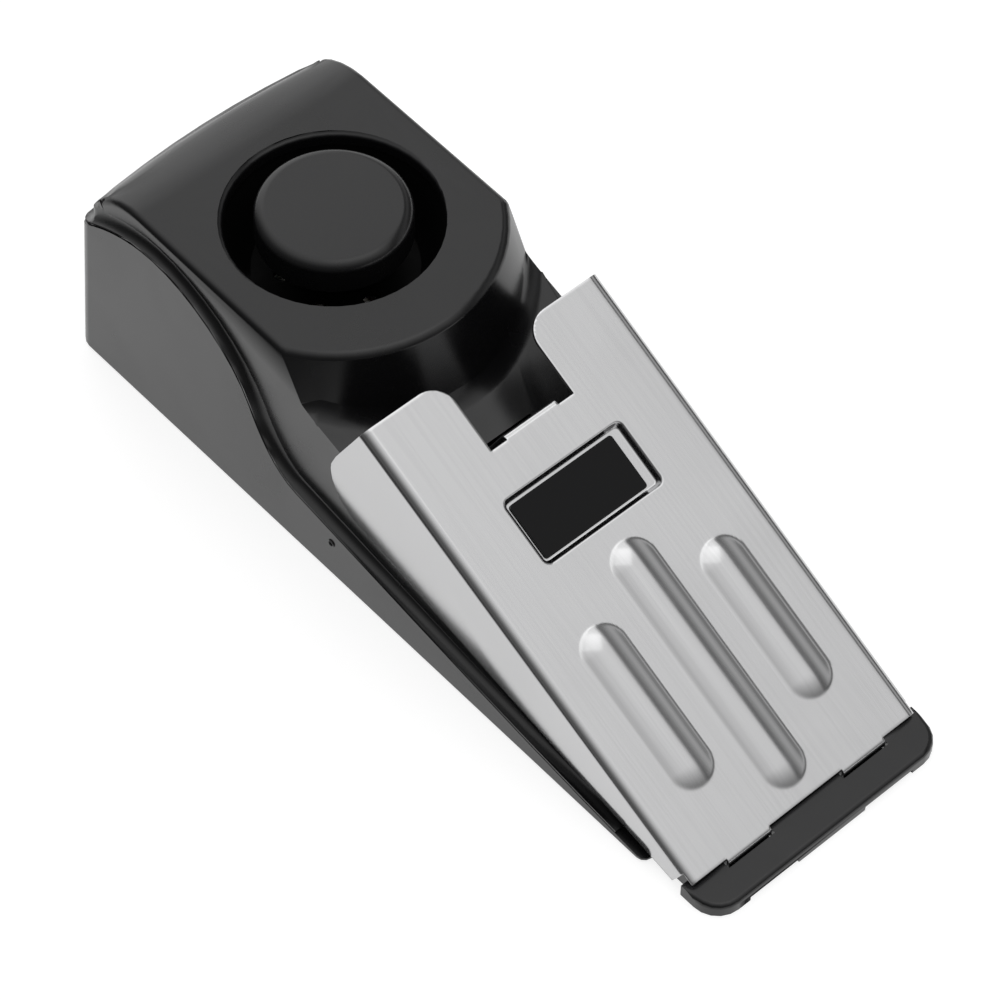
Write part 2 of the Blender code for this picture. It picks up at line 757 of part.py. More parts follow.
def door_cutters():
    half, tongue = door_outline(GAP)
    end = DOOR_END + GAP
    plate = centred_block((-OVERRUN, end), half, (BODY_BASE - OVERRUN, BODY_BASE + DOOR_THICKNESS + GAP))
    low = BODY_BASE + DOOR_THICKNESS - DOOR_TONGUE_THICKNESS - GAP
    groove = centred_block((-OVERRUN, end), tongue, (low, BODY_BASE + DOOR_THICKNESS + GAP))
    return plate, groove


def pad_outline(clearance):
    half = PAD_WIDTH / 2 + clearance
    return rounded_rectangle((PAD_START - clearance, PAD_START + PAD_LENGTH + clearance),
                             (-half, half), PAD_CORNER_RADIUS + clearance)


def foot_places():
    return [(FOOT_X, side * FOOT_Y) for side in (-1, 1)]


def build_lower_housing(material):
    housing = cut(lower_shell(), lower_cavity())
    root = BODY_BASE + EMBED
    deck = centred_block((rear_x(FLOOR_TOP) + REAR_WALL / 2, BAY_FRONT + BAY_WALL), DOOR_HALF + DOOR_TONGUE
                         + BAY_WALL, (root, BAY_FLOOR_TOP))
    housing = join(housing, bowed(deck), bay_box(BAY_WALL, BAY_ROOF))
    for x, y in boss_places():
        boss = rod(x, y, LOWER_BOSS_RADIUS, root, boss_joint(x), SCREW_SIDES)
        housing = join(housing, common(boss, centred_block((0, LENGTH), HALF_INNER - GAP, (0, HEAD_TOP))))
    for x, y in post_places():
        housing = join(housing, rod(x, y, POST_RADIUS, root, PCB_HEIGHT - GAP, SCREW_SIDES))
    below = BODY_BASE - OVERRUN
    housing = cut(housing, centred_block((BAY_REAR, BAY_FRONT), BAY_HALF, (below, BAY_TOP)))
    housing = cut(housing, *door_cutters())
    housing = cut(housing, slab(pad_outline(GAP), below, BODY_BASE + PAD_SINK + GAP))
    for x, y in foot_places():
        housing = cut(housing, rod(x, y, FOOT_RADIUS + GAP, below, BODY_BASE + PAD_SINK + GAP, SCREW_SIDES))
    for x, y in boss_places():
        head_top_z = BODY_BASE + SCREW_HEAD_HEIGHT + 2 * GAP
        housing = cut(housing, rod(x, y, SCREW_HEAD_RADIUS + GAP, below, head_top_z, SCREW_SIDES))
        hole_top = boss_joint(x) + OVERRUN
        housing = cut(housing, rod(x, y, SCREW_RADIUS + GAP, below, hole_top, SCREW_SIDES))
    for x, y in post_places()[2:]:
        hole_top = PCB_HEIGHT + OVERRUN
        housing = cut(housing, rod(x, y, POST_HOLE_RADIUS + GAP, FLOOR_TOP, hole_top, SCREW_SIDES))
    lead_hole = block((BAY_FRONT - EMBED, BAY_FRONT + BAY_WALL + EMBED),
                      (-BAY_HALF / 2 - LEAD_HOLE_RADIUS, -BAY_HALF / 2 + LEAD_HOLE_RADIUS),
                      (PCB_TOP + GAP, PCB_TOP + 2 * LEAD_HOLE_RADIUS))
    housing = cut(housing, lead_hole)
    for side, travel in ((-1, POWER_TRAVEL), (1, SENSITIVITY_TRAVEL)):
        housing = cut(housing, switch_slot(side * SWITCH_PITCH / 2, travel))
    return add_piece("lower_housing", housing, material)


# Upper housing

def cone_radius(height):
    return HEAD_FRONT_RADIUS + (HEAD_TOP - height) * math.tan(CONE_ANGLE)


def head_front(inset, low, high):
    """Everything inside the round front of the head: a cone in front, a block behind."""
    cone = turned([(0, low), (cone_radius(low) - inset, low), (cone_radius(high) - inset, high), (0, high)],
                  SIREN_X, 0, CONE_STEPS)
    behind = centred_block((-OVERRUN, SIREN_X + EMBED), HALF_HEAD + OVERRUN, (low, high))
    return join(cone, behind)


def head_prism(inset, low_line, half):
    """The head from the side: flat top, rolled rear, and whatever line it ends on below."""
    roll_x = HEAD_REAR + ROLL_RADIUS
    roll_z = head_top(roll_x) - ROLL_RADIUS
    front_x = low_line[-1][0]
    outline = low_line + [(front_x, head_top(front_x) - inset)]
    outline += arc((roll_x, roll_z), ROLL_RADIUS - inset, math.pi / 2, math.pi, ROLL_STEPS)
    return prism(outline, half)


def rounded_plan(inset, low, high):
    """The head's plan, with round rear corners."""
    half = HALF_HEAD - inset
    outline = rounded_rectangle((HEAD_REAR + inset, LENGTH), (-half, half), HEAD_CORNER_RADIUS - inset / 2)
    return slab(outline, low, high)


def head_solid():
    low = lip_height(HEAD_FRONT_X) - OVERRUN
    high = HEAD_TOP + OVERRUN
    inside = lip_height(RAMP_HEAD_X) + EMBED
    line = lip_line(HEAD_REAR, RAMP_HEAD_X) + [(RAMP_HEAD_X + EMBED, inside), (HEAD_FRONT_X, inside)]
    solid = head_prism(0, line, HALF_HEAD + OVERRUN)
    solid = common(solid, rounded_plan(0, low, high))
    return bowed(shouldered(common(solid, head_front(0, low, high))))


def shouldered(shape):
    """Round the edge between the head's top and its walls."""
    edges = []
    for edge in shape.edges:
        heights = sorted(face.normal.z for face in edge.link_faces)
        if edge.is_convex and heights[0] < SHOULDER_SHARE < heights[1]:
            edges.append(edge)
    bmesh.ops.bevel(shape, geom=edges, offset=SHOULDER_RADIUS, offset_type="OFFSET", affect="EDGES",
                    segments=SHOULDER_STEPS, profile=0.5, material=-1)
    return shape


def ramp_solid():
    """The ramp and the tapering body under it, as far as the toe."""
    toe_rear = LENGTH - TOE_SETBACK
    step_x = BODY_END + GAP
    outline = lip_line(RAMP_HEAD_X, BODY_END) + [(step_x, lip_height(BODY_END)), (step_x, BODY_BASE),
                                                (toe_rear + EMBED, BODY_BASE), (RAMP_FOOT_X, TOE_THICKNESS)]
    outline.append((RAMP_HEAD_X, RAMP_HEAD_HEIGHT))
    return prism(outline, HALF_HEAD)


def toe_solid():
    half = HALF_TOE
    corner = (LENGTH - TOE_CORNER_RADIUS, half - TOE_CORNER_RADIUS)
    outline = arc(corner, TOE_CORNER_RADIUS, math.pi / 2, 0, 5)
    outline += [(x, -y) for x, y in reversed(outline)]
    outline += [(LENGTH - TOE_SETBACK, -half), (LENGTH - TOE_SETBACK, half)]
    return slab(outline, 0, TOE_THICKNESS)


def cove_stations():
    """Places along the left side of the seam, then round the rear corner.

    Each is the point, the rising direction, how far round the corner it is, and its share of the full rise.
    """
    line = [point for point in seam_line() if point[0] < LENGTH - COVE_END_SETBACK]
    end_x = LENGTH - COVE_END_SETBACK
    line.append((end_x, seam_height(end_x)))
    corner_x = rear_x(SEAM_REAR_HEIGHT) + HEAD_CORNER_RADIUS
    line = [(corner_x, seam_height(corner_x))] + [point for point in line if point[0] > corner_x + EMBED]
    stations = []
    for i in reversed(range(len(line))):
        before, after = line[max(i - 1, 0)], line[min(i + 1, len(line) - 1)]
        slope = math.atan2(after[1] - before[1], after[0] - before[0])
        fade = (line[i][0] - RAMP_HEAD_X) / (end_x - RAMP_HEAD_X)
        stations.append((line[i], slope, 0, max(0, min(1, fade))))
    return stations


def cove_ring(rise_share, inset_share, root):
    """One closed outline round the body, between the seam's edge and the head's wall."""
    corner_x = rear_x(SEAM_REAR_HEIGHT)
    depth = HEAD_REAR - corner_x + COVE_BITE
    inset = inset_share * depth + root
    left = []
    for (x, z), slope, turn, fade in cove_stations():
        rise = GAP + COVE_LEDGE + rise_share * (COVE_RISE + (COVE_END_RISE - COVE_RISE) * fade)
        if rise_share < 0:
            rise = GAP
        outer = HALF_BODY - (z - BODY_BASE) * math.tan(SIDE_DRAFT)
        side = outer - inset_share * (outer - HALF_HEAD + COVE_BITE) - root
        left.append((x - rise * math.sin(slope), side, z + rise * math.cos(slope)))
    radius = CORNER_RADIUS + (HEAD_CORNER_RADIUS - CORNER_RADIUS) * inset_share
    start_x, side, start_z = left[-1]
    rear = corner_x + inset
    end_z = SEAM_REAR_HEIGHT + rise
    for step in range(1, CORNER_STEPS + 1):
        angle = math.pi / 2 * step / CORNER_STEPS
        reach = start_x - rear
        left.append((start_x - reach * math.sin(angle), side - radius * (1 - math.cos(angle)),
                     start_z + (end_z - start_z) * math.sin(angle)))
    return left + [(x, -y, z) for x, y, z in reversed(left)]


def cove_solid():
    """The hollow-sided ledge that fills the step between the two housings."""
    rings = [cove_ring(-1, 0, 0), cove_ring(0, 0, 0)]
    for step in range(1, COVE_STEPS + 1):
        angle = math.pi / 2 * step / COVE_STEPS
        rings.append(cove_ring(1 - math.cos(angle), math.sin(angle), 0))
    rings.append(cove_ring(1, 1, COVE_ROOT))
    shape = bmesh.new()
    rows = [[shape.verts.new(point) for point in ring] for ring in rings]
    count = len(rows[0])
    for low, high in zip(rows, rows[1:]):
        for i in range(count):
            shape.faces.new((low[i - 1], low[i], high[i], high[i - 1]))
    for row in (rows[0], rows[-1]):
        for i in range(count // 2 - 1):
            shape.faces.new((row[i], row[i + 1], row[count - 2 - i], row[count - 1 - i]))
    bmesh.ops.recalc_face_normals(shape, faces=shape.faces)
    return bowed(shape)


def upper_cavity():
    """Room inside the upper housing, less the bosses and the spring cup that hang into it."""
    low = -OVERRUN
    head = head_prism(WALL, [(HEAD_REAR + WALL, low), (HEAD_FRONT_X, low)], HALF_HEAD)
    head = common(head, rounded_plan(WALL, low - OVERRUN, HEAD_TOP - CEILING))
    head = bowed(common(head, head_front(CONE_WALL, low - OVERRUN, HEAD_TOP)))
    end_x = LENGTH - CAVITY_END_SETBACK
    drop = WALL / math.cos(math.atan(RAMP_SLOPE))
    outline = [(RAMP_HEAD_X, low - OVERRUN), (end_x, low - OVERRUN), (end_x, ramp_height(end_x) - drop),
               (RAMP_HEAD_X, ramp_height(RAMP_HEAD_X) - drop)]
    cavity = join(head, prism(outline, HALF_INNER))
    for x, y in boss_places():
        cavity = cut(cavity, rod(x, y, BOSS_RADIUS, boss_joint(x) + GAP, HEAD_TOP, SCREW_SIDES))
    return cut(cavity, spring_cup(CUP_WALL, SPRING_DEPTH + CUP_WALL))


def along_spring(shape):
    """Stand an upright shape on the spring's axis: its Z runs out of the plate."""
    turn = Matrix.Rotation(PLATE_ANGLE, 4, "Y")
    place = Vector(plate_point(POCKET_START + POCKET_LENGTH / 2, 0, -POCKET_DEPTH - SHEET))
    bmesh.ops.transform(shape, matrix=Matrix.Translation(place) @ turn, verts=shape.verts)
    return shape


def spring_cup(wall, depth):
    radius = SPRING_RADIUS + SPRING_WIRE + 2 * GAP + wall
    return along_spring(rod(0, 0, radius, -depth, -EMBED, SPRING_SIDES))


def tongue_slot():
    """Way through the ramp for the catch tongue and its swing."""
    start = TONGUE_PLACE - SLOT_PLAY
    shape = centred_block((-start - SHEET - 2 * SLOT_PLAY + GAP, -start), TONGUE_WIDTH / 2 + 2 * GAP,
                          (-catch_depth() - OVERRUN, -catch_depth() / 2))
    return on_plate(shape)


def tab_ranges(clearance):
    half = TAB_WIDTH / 2 + clearance
    return [(side * TAB_PITCH / 2 - half, side * TAB_PITCH / 2 + half) for side in (-1, 1)]


def build_upper_housing(material):
    housing = join(head_solid(), ramp_solid(), toe_solid(), cove_solid())
    housing = cut(housing, upper_cavity())
    housing = cut(housing, spring_cup(0, SPRING_DEPTH), tongue_slot())
    rim = HEAD_TOP + EMBED
    flare = arc((SIREN_HOLE_RADIUS + HOLE_FILLET, HEAD_TOP - HOLE_FILLET), HOLE_FILLET, math.pi, math.pi / 2,
                HOLE_FILLET_STEPS)
    hole = turned([(0, HEAD_TOP - ROLL_RADIUS), (SIREN_HOLE_RADIUS, HEAD_TOP - ROLL_RADIUS)] + flare
                  + [(SIREN_HOLE_RADIUS + HOLE_FILLET, rim), (0, rim)], SIREN_X, 0, SIREN_STEPS)
    housing = cut(housing, hole)
    for x, y in boss_places():
        hole_top = boss_joint(x) + SCREW_BITE + 2 * GAP
        housing = cut(housing, rod(x, y, SCREW_RADIUS + GAP, 0, hole_top, SCREW_SIDES))
    face = PLATE_FRONT_X + SHEET
    for low_y, high_y in tab_ranges(GAP):
        slot = block((PLATE_FRONT_X - GAP, face + GAP), (low_y, high_y), (-OVERRUN, TOE_THICKNESS + OVERRUN))
        pocket = block((PLATE_FRONT_X - GAP, face + HOOK_LENGTH + GAP), (low_y, high_y),
                       (-OVERRUN, HOOK_HEIGHT + SHEET + GAP))
        relief = block((LENGTH - TOE_SETBACK - EMBED, LENGTH + OVERRUN),
                       (low_y - GAP, high_y + GAP), (-OVERRUN, TOE_RELIEF))
        housing = cut(housing, slot, pocket, relief)
    return add_piece("upper_housing", housing, material)


# Pressure plate

def channel():
    """The U-shaped pressing, longer than needed, in the plate's own axes."""
    def section(half, top, radius, low):
        outline = arc((half - radius, top - radius), radius, math.pi / 2, 0, BEND_STEPS)
        outline += [(half, low)]
        return outline + [(-y, z) for y, z in reversed(outline)]

    start, end = -PLATE_LENGTH - OVERRUN, OVERRUN
    deep = -PLATE_LENGTH
    outer = extrude_outline([(start, y, z) for y, z in section(HALF_PLATE, 0, PLATE_BEND_RADIUS, deep)],
                            (end - start, 0, 0))
    inner_points = section(FLANGE_INNER, -SHEET, PLATE_BEND_RADIUS - SHEET, deep - OVERRUN)
    inner = extrude_outline([(start - OVERRUN, y, z) for y, z in inner_points],
                            (end - start + 2 * OVERRUN, 0, 0))
    return on_plate(cut(outer, inner))


def plate_side():
    """Outline of the plate from the side: web, flange heel and flange toe."""
    front = (LENGTH - FLANGE_FRONT_SETBACK, FLANGE_FRONT_HEIGHT)
    outline = [plate_point(0, 0, OVERRUN), plate_point(PLATE_LENGTH, 0, OVERRUN),
               plate_point(PLATE_LENGTH, 0, -EMBED)]
    for back, down in FLANGE_HEEL_SHARES:
        outline.append(plate_point(PLATE_LENGTH - back * HEEL_LENGTH, 0, -down * FLANGE_DEPTH))
    outline = [(x, z) for x, y, z in outline]
    outline.append(front)
    for along in (FLANGE_TIP_ALONG, 0):
        x, y, z = plate_point(along, 0, -SHEET - GAP / 4)
        outline.append((x, z))
    return outline


def rib(start, length, y, radius):
    """A long round-ended dome across the sheet: a capsule sunk in the plate."""
    sink = RIB_CURVE - RIB_RISE
    end = length / 2 - RIB_WIDTH / 2
    profile = arc((0, end), radius, math.pi / 2, 0, RIB_STEPS)
    profile += arc((0, -end), radius, 0, -math.pi / 2, RIB_STEPS)
    profile = [(max(r, 0), z) for r, z in profile]
    profile[0] = (0, profile[0][1])
    profile[-1] = (0, profile[-1][1])
    shape = turned(profile, 0, 0, 4 * RIB_STEPS)
    turn = Matrix.Rotation(math.pi / 2, 4, "Y")
    move = Matrix.Translation((-start - length / 2, y, -sink))
    bmesh.ops.transform(shape, matrix=move @ turn, verts=shape.verts)
    return on_plate(shape)


def rib_list():
    side = [(RIB_START, SIDE_RIB_LENGTH, place * RIB_PITCH) for place in (-1, 1)]
    return side + [(MIDDLE_RIB_START, MIDDLE_RIB_LENGTH, 0)]


def pan_solid(levels, grow):
    """A shallow pan with sloping walls: each level is a height and how far its outline is drawn in."""
    rings = []
    for height, inset in levels:
        half = POCKET_WIDTH / 2 + grow - inset
        near, far = -POCKET_START + grow - inset, -POCKET_START - POCKET_LENGTH - grow + inset
        outline = rounded_rectangle((far, near), (-half, half), POCKET_CORNER_RADIUS, 3)
        rings.append([(x, y, height) for x, y in outline])
    return on_plate(loft(rings))


def pocket_hollow():
    """Space inside the label pocket."""
    return pan_solid([(OVERRUN, -POCKET_BEVEL * OVERRUN / POCKET_DEPTH), (-POCKET_DEPTH, POCKET_BEVEL)], 0)


def pocket_pan():
    """The sheet metal under the pocket."""
    return pan_solid([(-SHEET / 2, 0), (-POCKET_DEPTH - SHEET, POCKET_BEVEL)], SHEET)


def notch():
    """Square bite out of the plate's rear edge, with rounded mouth corners."""
    half = NOTCH_WIDTH / 2
    inner_x = -PLATE_LENGTH + NOTCH_DEPTH
    mouth = -PLATE_LENGTH
    radius = PLATE_CORNER_RADIUS
    flare = arc((mouth + radius, half + radius), radius, -math.pi / 2, -math.pi, 5)
    outline = [(inner_x, half)] + flare + [(mouth - OVERRUN, half + radius)]
    outline += [(x, -y) for x, y in reversed(outline)]
    return on_plate(slab(outline, -2 * SHEET, OVERRUN))


def tongue():
    """The tab bent down at the notch, with its foot turned forward under the ramp."""
    rear = -TONGUE_PLACE - SHEET
    outline = [(rear, -SHEET / 4), (rear, -catch_depth()), (rear + CATCH_REACH, -catch_depth()),
               (rear + CATCH_REACH, -catch_depth() + SHEET), (rear + SHEET, -catch_depth() + SHEET),
               (rear + SHEET, -SHEET / 2), (rear + SHEET + EMBED, -SHEET / 2),
               (rear + SHEET + EMBED, -SHEET / 4)]
    return on_plate(prism(outline, TONGUE_WIDTH / 2))


def catch_depth():
    """Depth of the tongue's foot below the plate, just clear of the trigger lever."""
    pivot = lever_pivot()
    tip = TONGUE_PLACE + SHEET - CATCH_REACH
    rise = PLATE_FRONT_HEIGHT + tip * math.sin(PLATE_ANGLE) - pivot[2] - CATCH_CLEARANCE
    reach = PLATE_FRONT_X - tip * math.cos(PLATE_ANGLE) - pivot[0]
    half = LEVER_THICKNESS / 2 / math.cos(LEVER_ANGLE)
    slope = math.tan(LEVER_ANGLE)
    return (rise - half - reach * slope) / (math.cos(PLATE_ANGLE) - math.sin(PLATE_ANGLE) * slope)


def hinge_tab(low_y, high_y):
    face = PLATE_FRONT_X + SHEET
    foot = HOOK_HEIGHT
    top = plate_point(TAB_ROOT, 0, -SHEET / 8)
    under = plate_point(TAB_ROOT, 0, -SHEET + SHEET / 8)
    nose = plate_point(-SHEET / 3, 0, -SHEET / 4)
    outline = [(top[0], top[2]), (nose[0], nose[2]),
               (face, PLATE_FRONT_HEIGHT - SHEET), (face, foot + SHEET),
               (face + HOOK_LENGTH, foot + SHEET), (face + HOOK_LENGTH, foot), (face - SHEET, foot),
               (face - SHEET, PLATE_FRONT_HEIGHT - 2 * SHEET), (under[0], under[2])]
    return prism(outline, (high_y - low_y) / 2, (high_y + low_y) / 2)


def build_pressure_plate(material):
    plate = common(channel(), prism(plate_side(), HALF_PLATE + OVERRUN))
    for start, length, y in rib_list():
        plate = join(plate, rib_top(start, length, y))
    plate = join(plate, pocket_pan())
    for start, length, y in rib_list():
        plate = cut(plate, rib(start, length, y, RIB_CURVE - SHEET))
    plate = cut(plate, pocket_hollow(), notch())
    plate = join(plate, tongue())
    for low_y, high_y in tab_ranges(0):
        plate = join(plate, hinge_tab(low_y, high_y))
    return add_piece("pressure_plate", plate, material, (HINGE_X, 0, HINGE_HEIGHT))


def rib_top(start, length, y):
    """Upper part of a rib, from the middle of the sheet upwards."""
    half = RIB_CURVE
    keep = block((-start - length - half, -start + half), (y - half, y + half),
                 (-SHEET / 2, RIB_RISE + OVERRUN))
    return common(rib(start, length, y, RIB_CURVE), on_plate(keep))


def build_label_plate(material):
    half = POCKET_WIDTH / 2 - POCKET_BEVEL
    inset = POCKET_BEVEL + GAP
    outline = rounded_rectangle((-POCKET_START - POCKET_LENGTH + inset, -POCKET_START - inset),
                                (GAP - half, half - LABEL_MARGIN), POCKET_CORNER_RADIUS / 2, 3)
    low = -POCKET_DEPTH + GLUE
    return add_piece("label_plate", on_plate(slab(outline, low, low + LABEL_THICKNESS)), material,
                     (HINGE_X, 0, HINGE_HEIGHT))


def build_return_spring(material):
    """Compression spring between the plate's pan and the cup: one unbroken tube."""
    top, low = -SPRING_WIRE - GLUE, -SPRING_DEPTH + SPRING_WIRE + GLUE
    path = []
    count = SPRING_TURNS * SPRING_POINTS
    turn = Matrix.Rotation(PLATE_ANGLE, 4, "Y")
    place = Vector(plate_point(POCKET_START + POCKET_LENGTH / 2, 0, -POCKET_DEPTH - SHEET))
    for i in range(count + 1):
        angle = 2 * math.pi * i / SPRING_POINTS
        share = i / count
        height = low + (top - low) * share
        point = Vector((SPRING_RADIUS * math.cos(angle), SPRING_RADIUS * math.sin(angle), height))
        path.append(place + turn @ point)
    pitch = (top - low) / SPRING_TURNS
    print("return_spring least gap between curls:", round(1000 * (pitch - 2 * SPRING_WIRE), 2), "mm")
    return add_piece("return_spring", tube(path, SPRING_WIRE, SPRING_WIRE_SIDES), material)


# Siren

def build_siren(shell, brass, ceramic_white):
    cap_low = CAP_HEIGHT - CAP_DEPTH
    inner = CAP_RADIUS - HORN_WALL
    edge = arc((CAP_RADIUS - CAP_EDGE, CAP_HEIGHT - CAP_EDGE), CAP_EDGE, math.pi / 2, 0, 4)
    cap = [(0, CAP_HEIGHT)] + edge + [(CAP_RADIUS, cap_low), (inner, cap_low),
                                      (inner, CAP_HEIGHT - 2 * HORN_WALL),
                                      (STEM_RADIUS, CAP_HEIGHT - 2 * HORN_WALL),
                                      (STEM_RADIUS, HORN_FLOOR + HORN_WALL), (0, HORN_FLOOR + HORN_WALL)]
    add_piece("siren_cap", turned(cap, SIREN_X, 0, SIREN_STEPS), shell, (SIREN_X, 0, CAP_HEIGHT))
    rim = HEAD_TOP - CEILING - GAP
    wall = HORN_WALL
    socket = STEM_RADIUS + GAP
    bowl = [(0, HORN_FLOOR - HORN_FLOOR_WALL), (HORN_BASE_RADIUS, HORN_FLOOR - HORN_FLOOR_WALL),
            (HORN_BASE_RADIUS + wall, HORN_FLOOR + wall), (HORN_RIM_RADIUS - wall, rim - 2 * wall),
            (HORN_RIM_RADIUS, rim - wall), (HORN_RIM_RADIUS, rim), (SIREN_HOLE_RADIUS + GAP, rim),
            (HORN_BASE_RADIUS, HORN_FLOOR + 2 * wall), (HORN_BASE_RADIUS - 2 * wall, HORN_FLOOR),
            (socket + wall, HORN_FLOOR), (socket + wall, HORN_FLOOR + SOCKET_HEIGHT),
            (socket, HORN_FLOOR + SOCKET_HEIGHT), (socket, HORN_FLOOR + wall / 2),
            (0, HORN_FLOOR + wall / 2)]
    horn = turned(bowl, SIREN_X, 0, SIREN_STEPS)
    for i in range(SOUND_HOLES):
        angle = 2 * math.pi * i / SOUND_HOLES
        x = SIREN_X + SOUND_HOLE_CIRCLE * math.cos(angle)
        y = SOUND_HOLE_CIRCLE * math.sin(angle)
        horn = cut(horn, rod(x, y, SOUND_HOLE_RADIUS, HORN_FLOOR - OVERRUN, HORN_FLOOR + wall / 2, 10))
    add_piece("siren_horn", horn, shell)
    high = HORN_FLOOR - HORN_FLOOR_WALL - GAP
    step = CHAMBER_FLOOR + CHAMBER_WALL + DISC_STEP
    can = [(0, CHAMBER_FLOOR), (CHAMBER_RADIUS, CHAMBER_FLOOR), (CHAMBER_RADIUS, high),
           (CHAMBER_RADIUS - CHAMBER_WALL, high), (CHAMBER_RADIUS - CHAMBER_WALL, step),
           (DISC_RADIUS - CHAMBER_WALL, step), (DISC_RADIUS - CHAMBER_WALL, CHAMBER_FLOOR + CHAMBER_WALL),
           (0, CHAMBER_FLOOR + CHAMBER_WALL)]
    chamber = turned(can, SIREN_X, 0, SIREN_STEPS)
    disc_top = step + GLUE + DISC_THICKNESS
    notch_block = centred_block((SIREN_X + DISC_RADIUS, SIREN_X + CHAMBER_RADIUS + EMBED),
                                LEAD_PITCH + LEAD_RADIUS,
                                (disc_top + GLUE, high + OVERRUN))
    add_piece("siren_chamber", cut(chamber, notch_block), shell)
    add_piece("piezo_disc", rod(SIREN_X, 0, DISC_RADIUS, step + GLUE, disc_top, SIREN_STEPS), brass)
    low = disc_top + GLUE
    ceramic = rod(SIREN_X, 0, CERAMIC_RADIUS, low, low + DISC_THICKNESS, SIREN_STEPS)
    add_piece("piezo_ceramic", ceramic, ceramic_white)


# Battery and its door

def build_battery(case, terminal):
    half = BATTERY_WIDTH / 2
    low, high = BATTERY_BASE, BATTERY_TOP
    section = []
    for y, z in rounded_rectangle((-half, half), (low, high), BATTERY_EDGE, 3):
        section.append((BATTERY_X, y, z))
    battery = extrude_outline(section, (BATTERY_LENGTH, 0, 0))
    for stud in terminal_studs(TERMINAL_RADIUS, -EMBED, TERMINAL_LENGTH):
        battery = join(battery, stud)
    add_piece("battery", battery, case)
    middle = (low + high) / 2
    snap = centred_block((SNAP_X, SNAP_X + SNAP_THICKNESS), SNAP_WIDTH / 2,
                         (middle - SNAP_HEIGHT / 2, middle + SNAP_HEIGHT / 2))
    for stud in terminal_studs(TERMINAL_RADIUS + GAP, -OVERRUN, TERMINAL_LENGTH + GAP):
        snap = cut(snap, stud)
    add_piece("battery_snap", snap, terminal)


def terminal_studs(radius, start, reach):
    studs = []
    for side in (-1, 1):
        middle = (BATTERY_BASE + BATTERY_TOP) / 2
        outline = disc_outline(side * TERMINAL_PITCH / 2, middle, radius, SCREW_SIDES)
        corners = [(BATTERY_END + start, y, z) for y, z in outline]
        studs.append(extrude_outline(corners, (reach - start, 0, 0)))
    return studs


def build_battery_door(material):
    half, tongue_half = door_outline(0)
    top = BODY_BASE + DOOR_THICKNESS
    rear = rear_x(BODY_BASE + DOOR_THICKNESS)
    outline = [(0, BODY_BASE), (DOOR_END, BODY_BASE), (DOOR_END, top), (rear, top)]
    door = prism(outline, half)
    low = top - DOOR_TONGUE_THICKNESS
    door = bowed(join(door, centred_block((rear + EMBED, DOOR_END), tongue_half, (low, top))))
    for i in range(DOOR_GRIP_COUNT):
        x = DOOR_GRIP_START + i * DOOR_GRIP_PITCH
        door = cut(door, centred_block((x, x + DOOR_GRIP_PITCH / 2), DOOR_GRIP_WIDTH / 2,
                                       (BODY_BASE - OVERRUN, BODY_BASE + DOOR_GRIP_DEPTH)))
    return add_piece("battery_door", door, material)


# Rear switches

def switch_face(y, travel):
    """Front of a switch body: clear of the bowed rear wall at its outer end."""
    outer = max(abs(y + travel / 2 - SWITCH_LENGTH / 2), abs(y + travel / 2 + SWITCH_LENGTH / 2))
    return rear_x(SWITCH_HEIGHT + SWITCH_BODY_HEIGHT / 2) + REAR_WALL + GAP - bow_at(outer)


def build_switch(name, knob_name, y, travel, metal, plastic):
    """A slide switch behind the rear wall and the knob that pokes through it."""
    face = switch_face(y, travel)
    half = SWITCH_LENGTH / 2
    middle = y + travel / 2
    body = block((face, face + SWITCH_DEPTH), (middle - half, middle + half),
                 (SWITCH_HEIGHT - SWITCH_BODY_HEIGHT / 2, SWITCH_HEIGHT + SWITCH_BODY_HEIGHT / 2))
    stem = KNOB_HEIGHT / 4
    reach = SWITCH_DEPTH / 2
    slot = block((face - EMBED, face + reach + GAP), (y - stem - GAP, y + stem + travel + GAP),
                 (SWITCH_HEIGHT - stem - GAP, SWITCH_HEIGHT + stem + GAP))
    add_piece(name, cut(body, slot), metal)
    outside = rear_x(SWITCH_HEIGHT) - bow_at(y) - KNOB_REACH
    inside = face - GAP
    grip = KNOB_WIDTH / 2
    outline = [(outside, y - grip + EMBED), (outside, y + grip - EMBED), (outside + EMBED, y + grip),
               (inside, y + grip), (inside, y - grip), (outside + EMBED, y - grip)]
    knob = slab(outline, SWITCH_HEIGHT - KNOB_HEIGHT / 2, SWITCH_HEIGHT + KNOB_HEIGHT / 2)
    knob = join(knob, block((inside - EMBED, face + reach), (y - stem, y + stem),
                            (SWITCH_HEIGHT - stem, SWITCH_HEIGHT + stem)))
    add_piece(knob_name, knob, plastic, (outside, y, SWITCH_HEIGHT))


def strip(path, thickness):
    """Outline of a flat band that follows a path in X and Z."""
    sides = ([], [])
    for i, (x, z) in enumerate(path):
        before, after = path[max(i - 1, 0)], path[min(i + 1, len(path) - 1)]
        length = math.hypot(after[0] - before[0], after[1] - before[1])
        across = ((before[1] - after[1]) / length, (after[0] - before[0]) / length)
        for side, sign in zip(sides, (1, -1)):
            side.append((x + sign * across[0] * thickness / 2, z + sign * across[1] * thickness / 2))
    return sides[0] + sides[1][::-1]


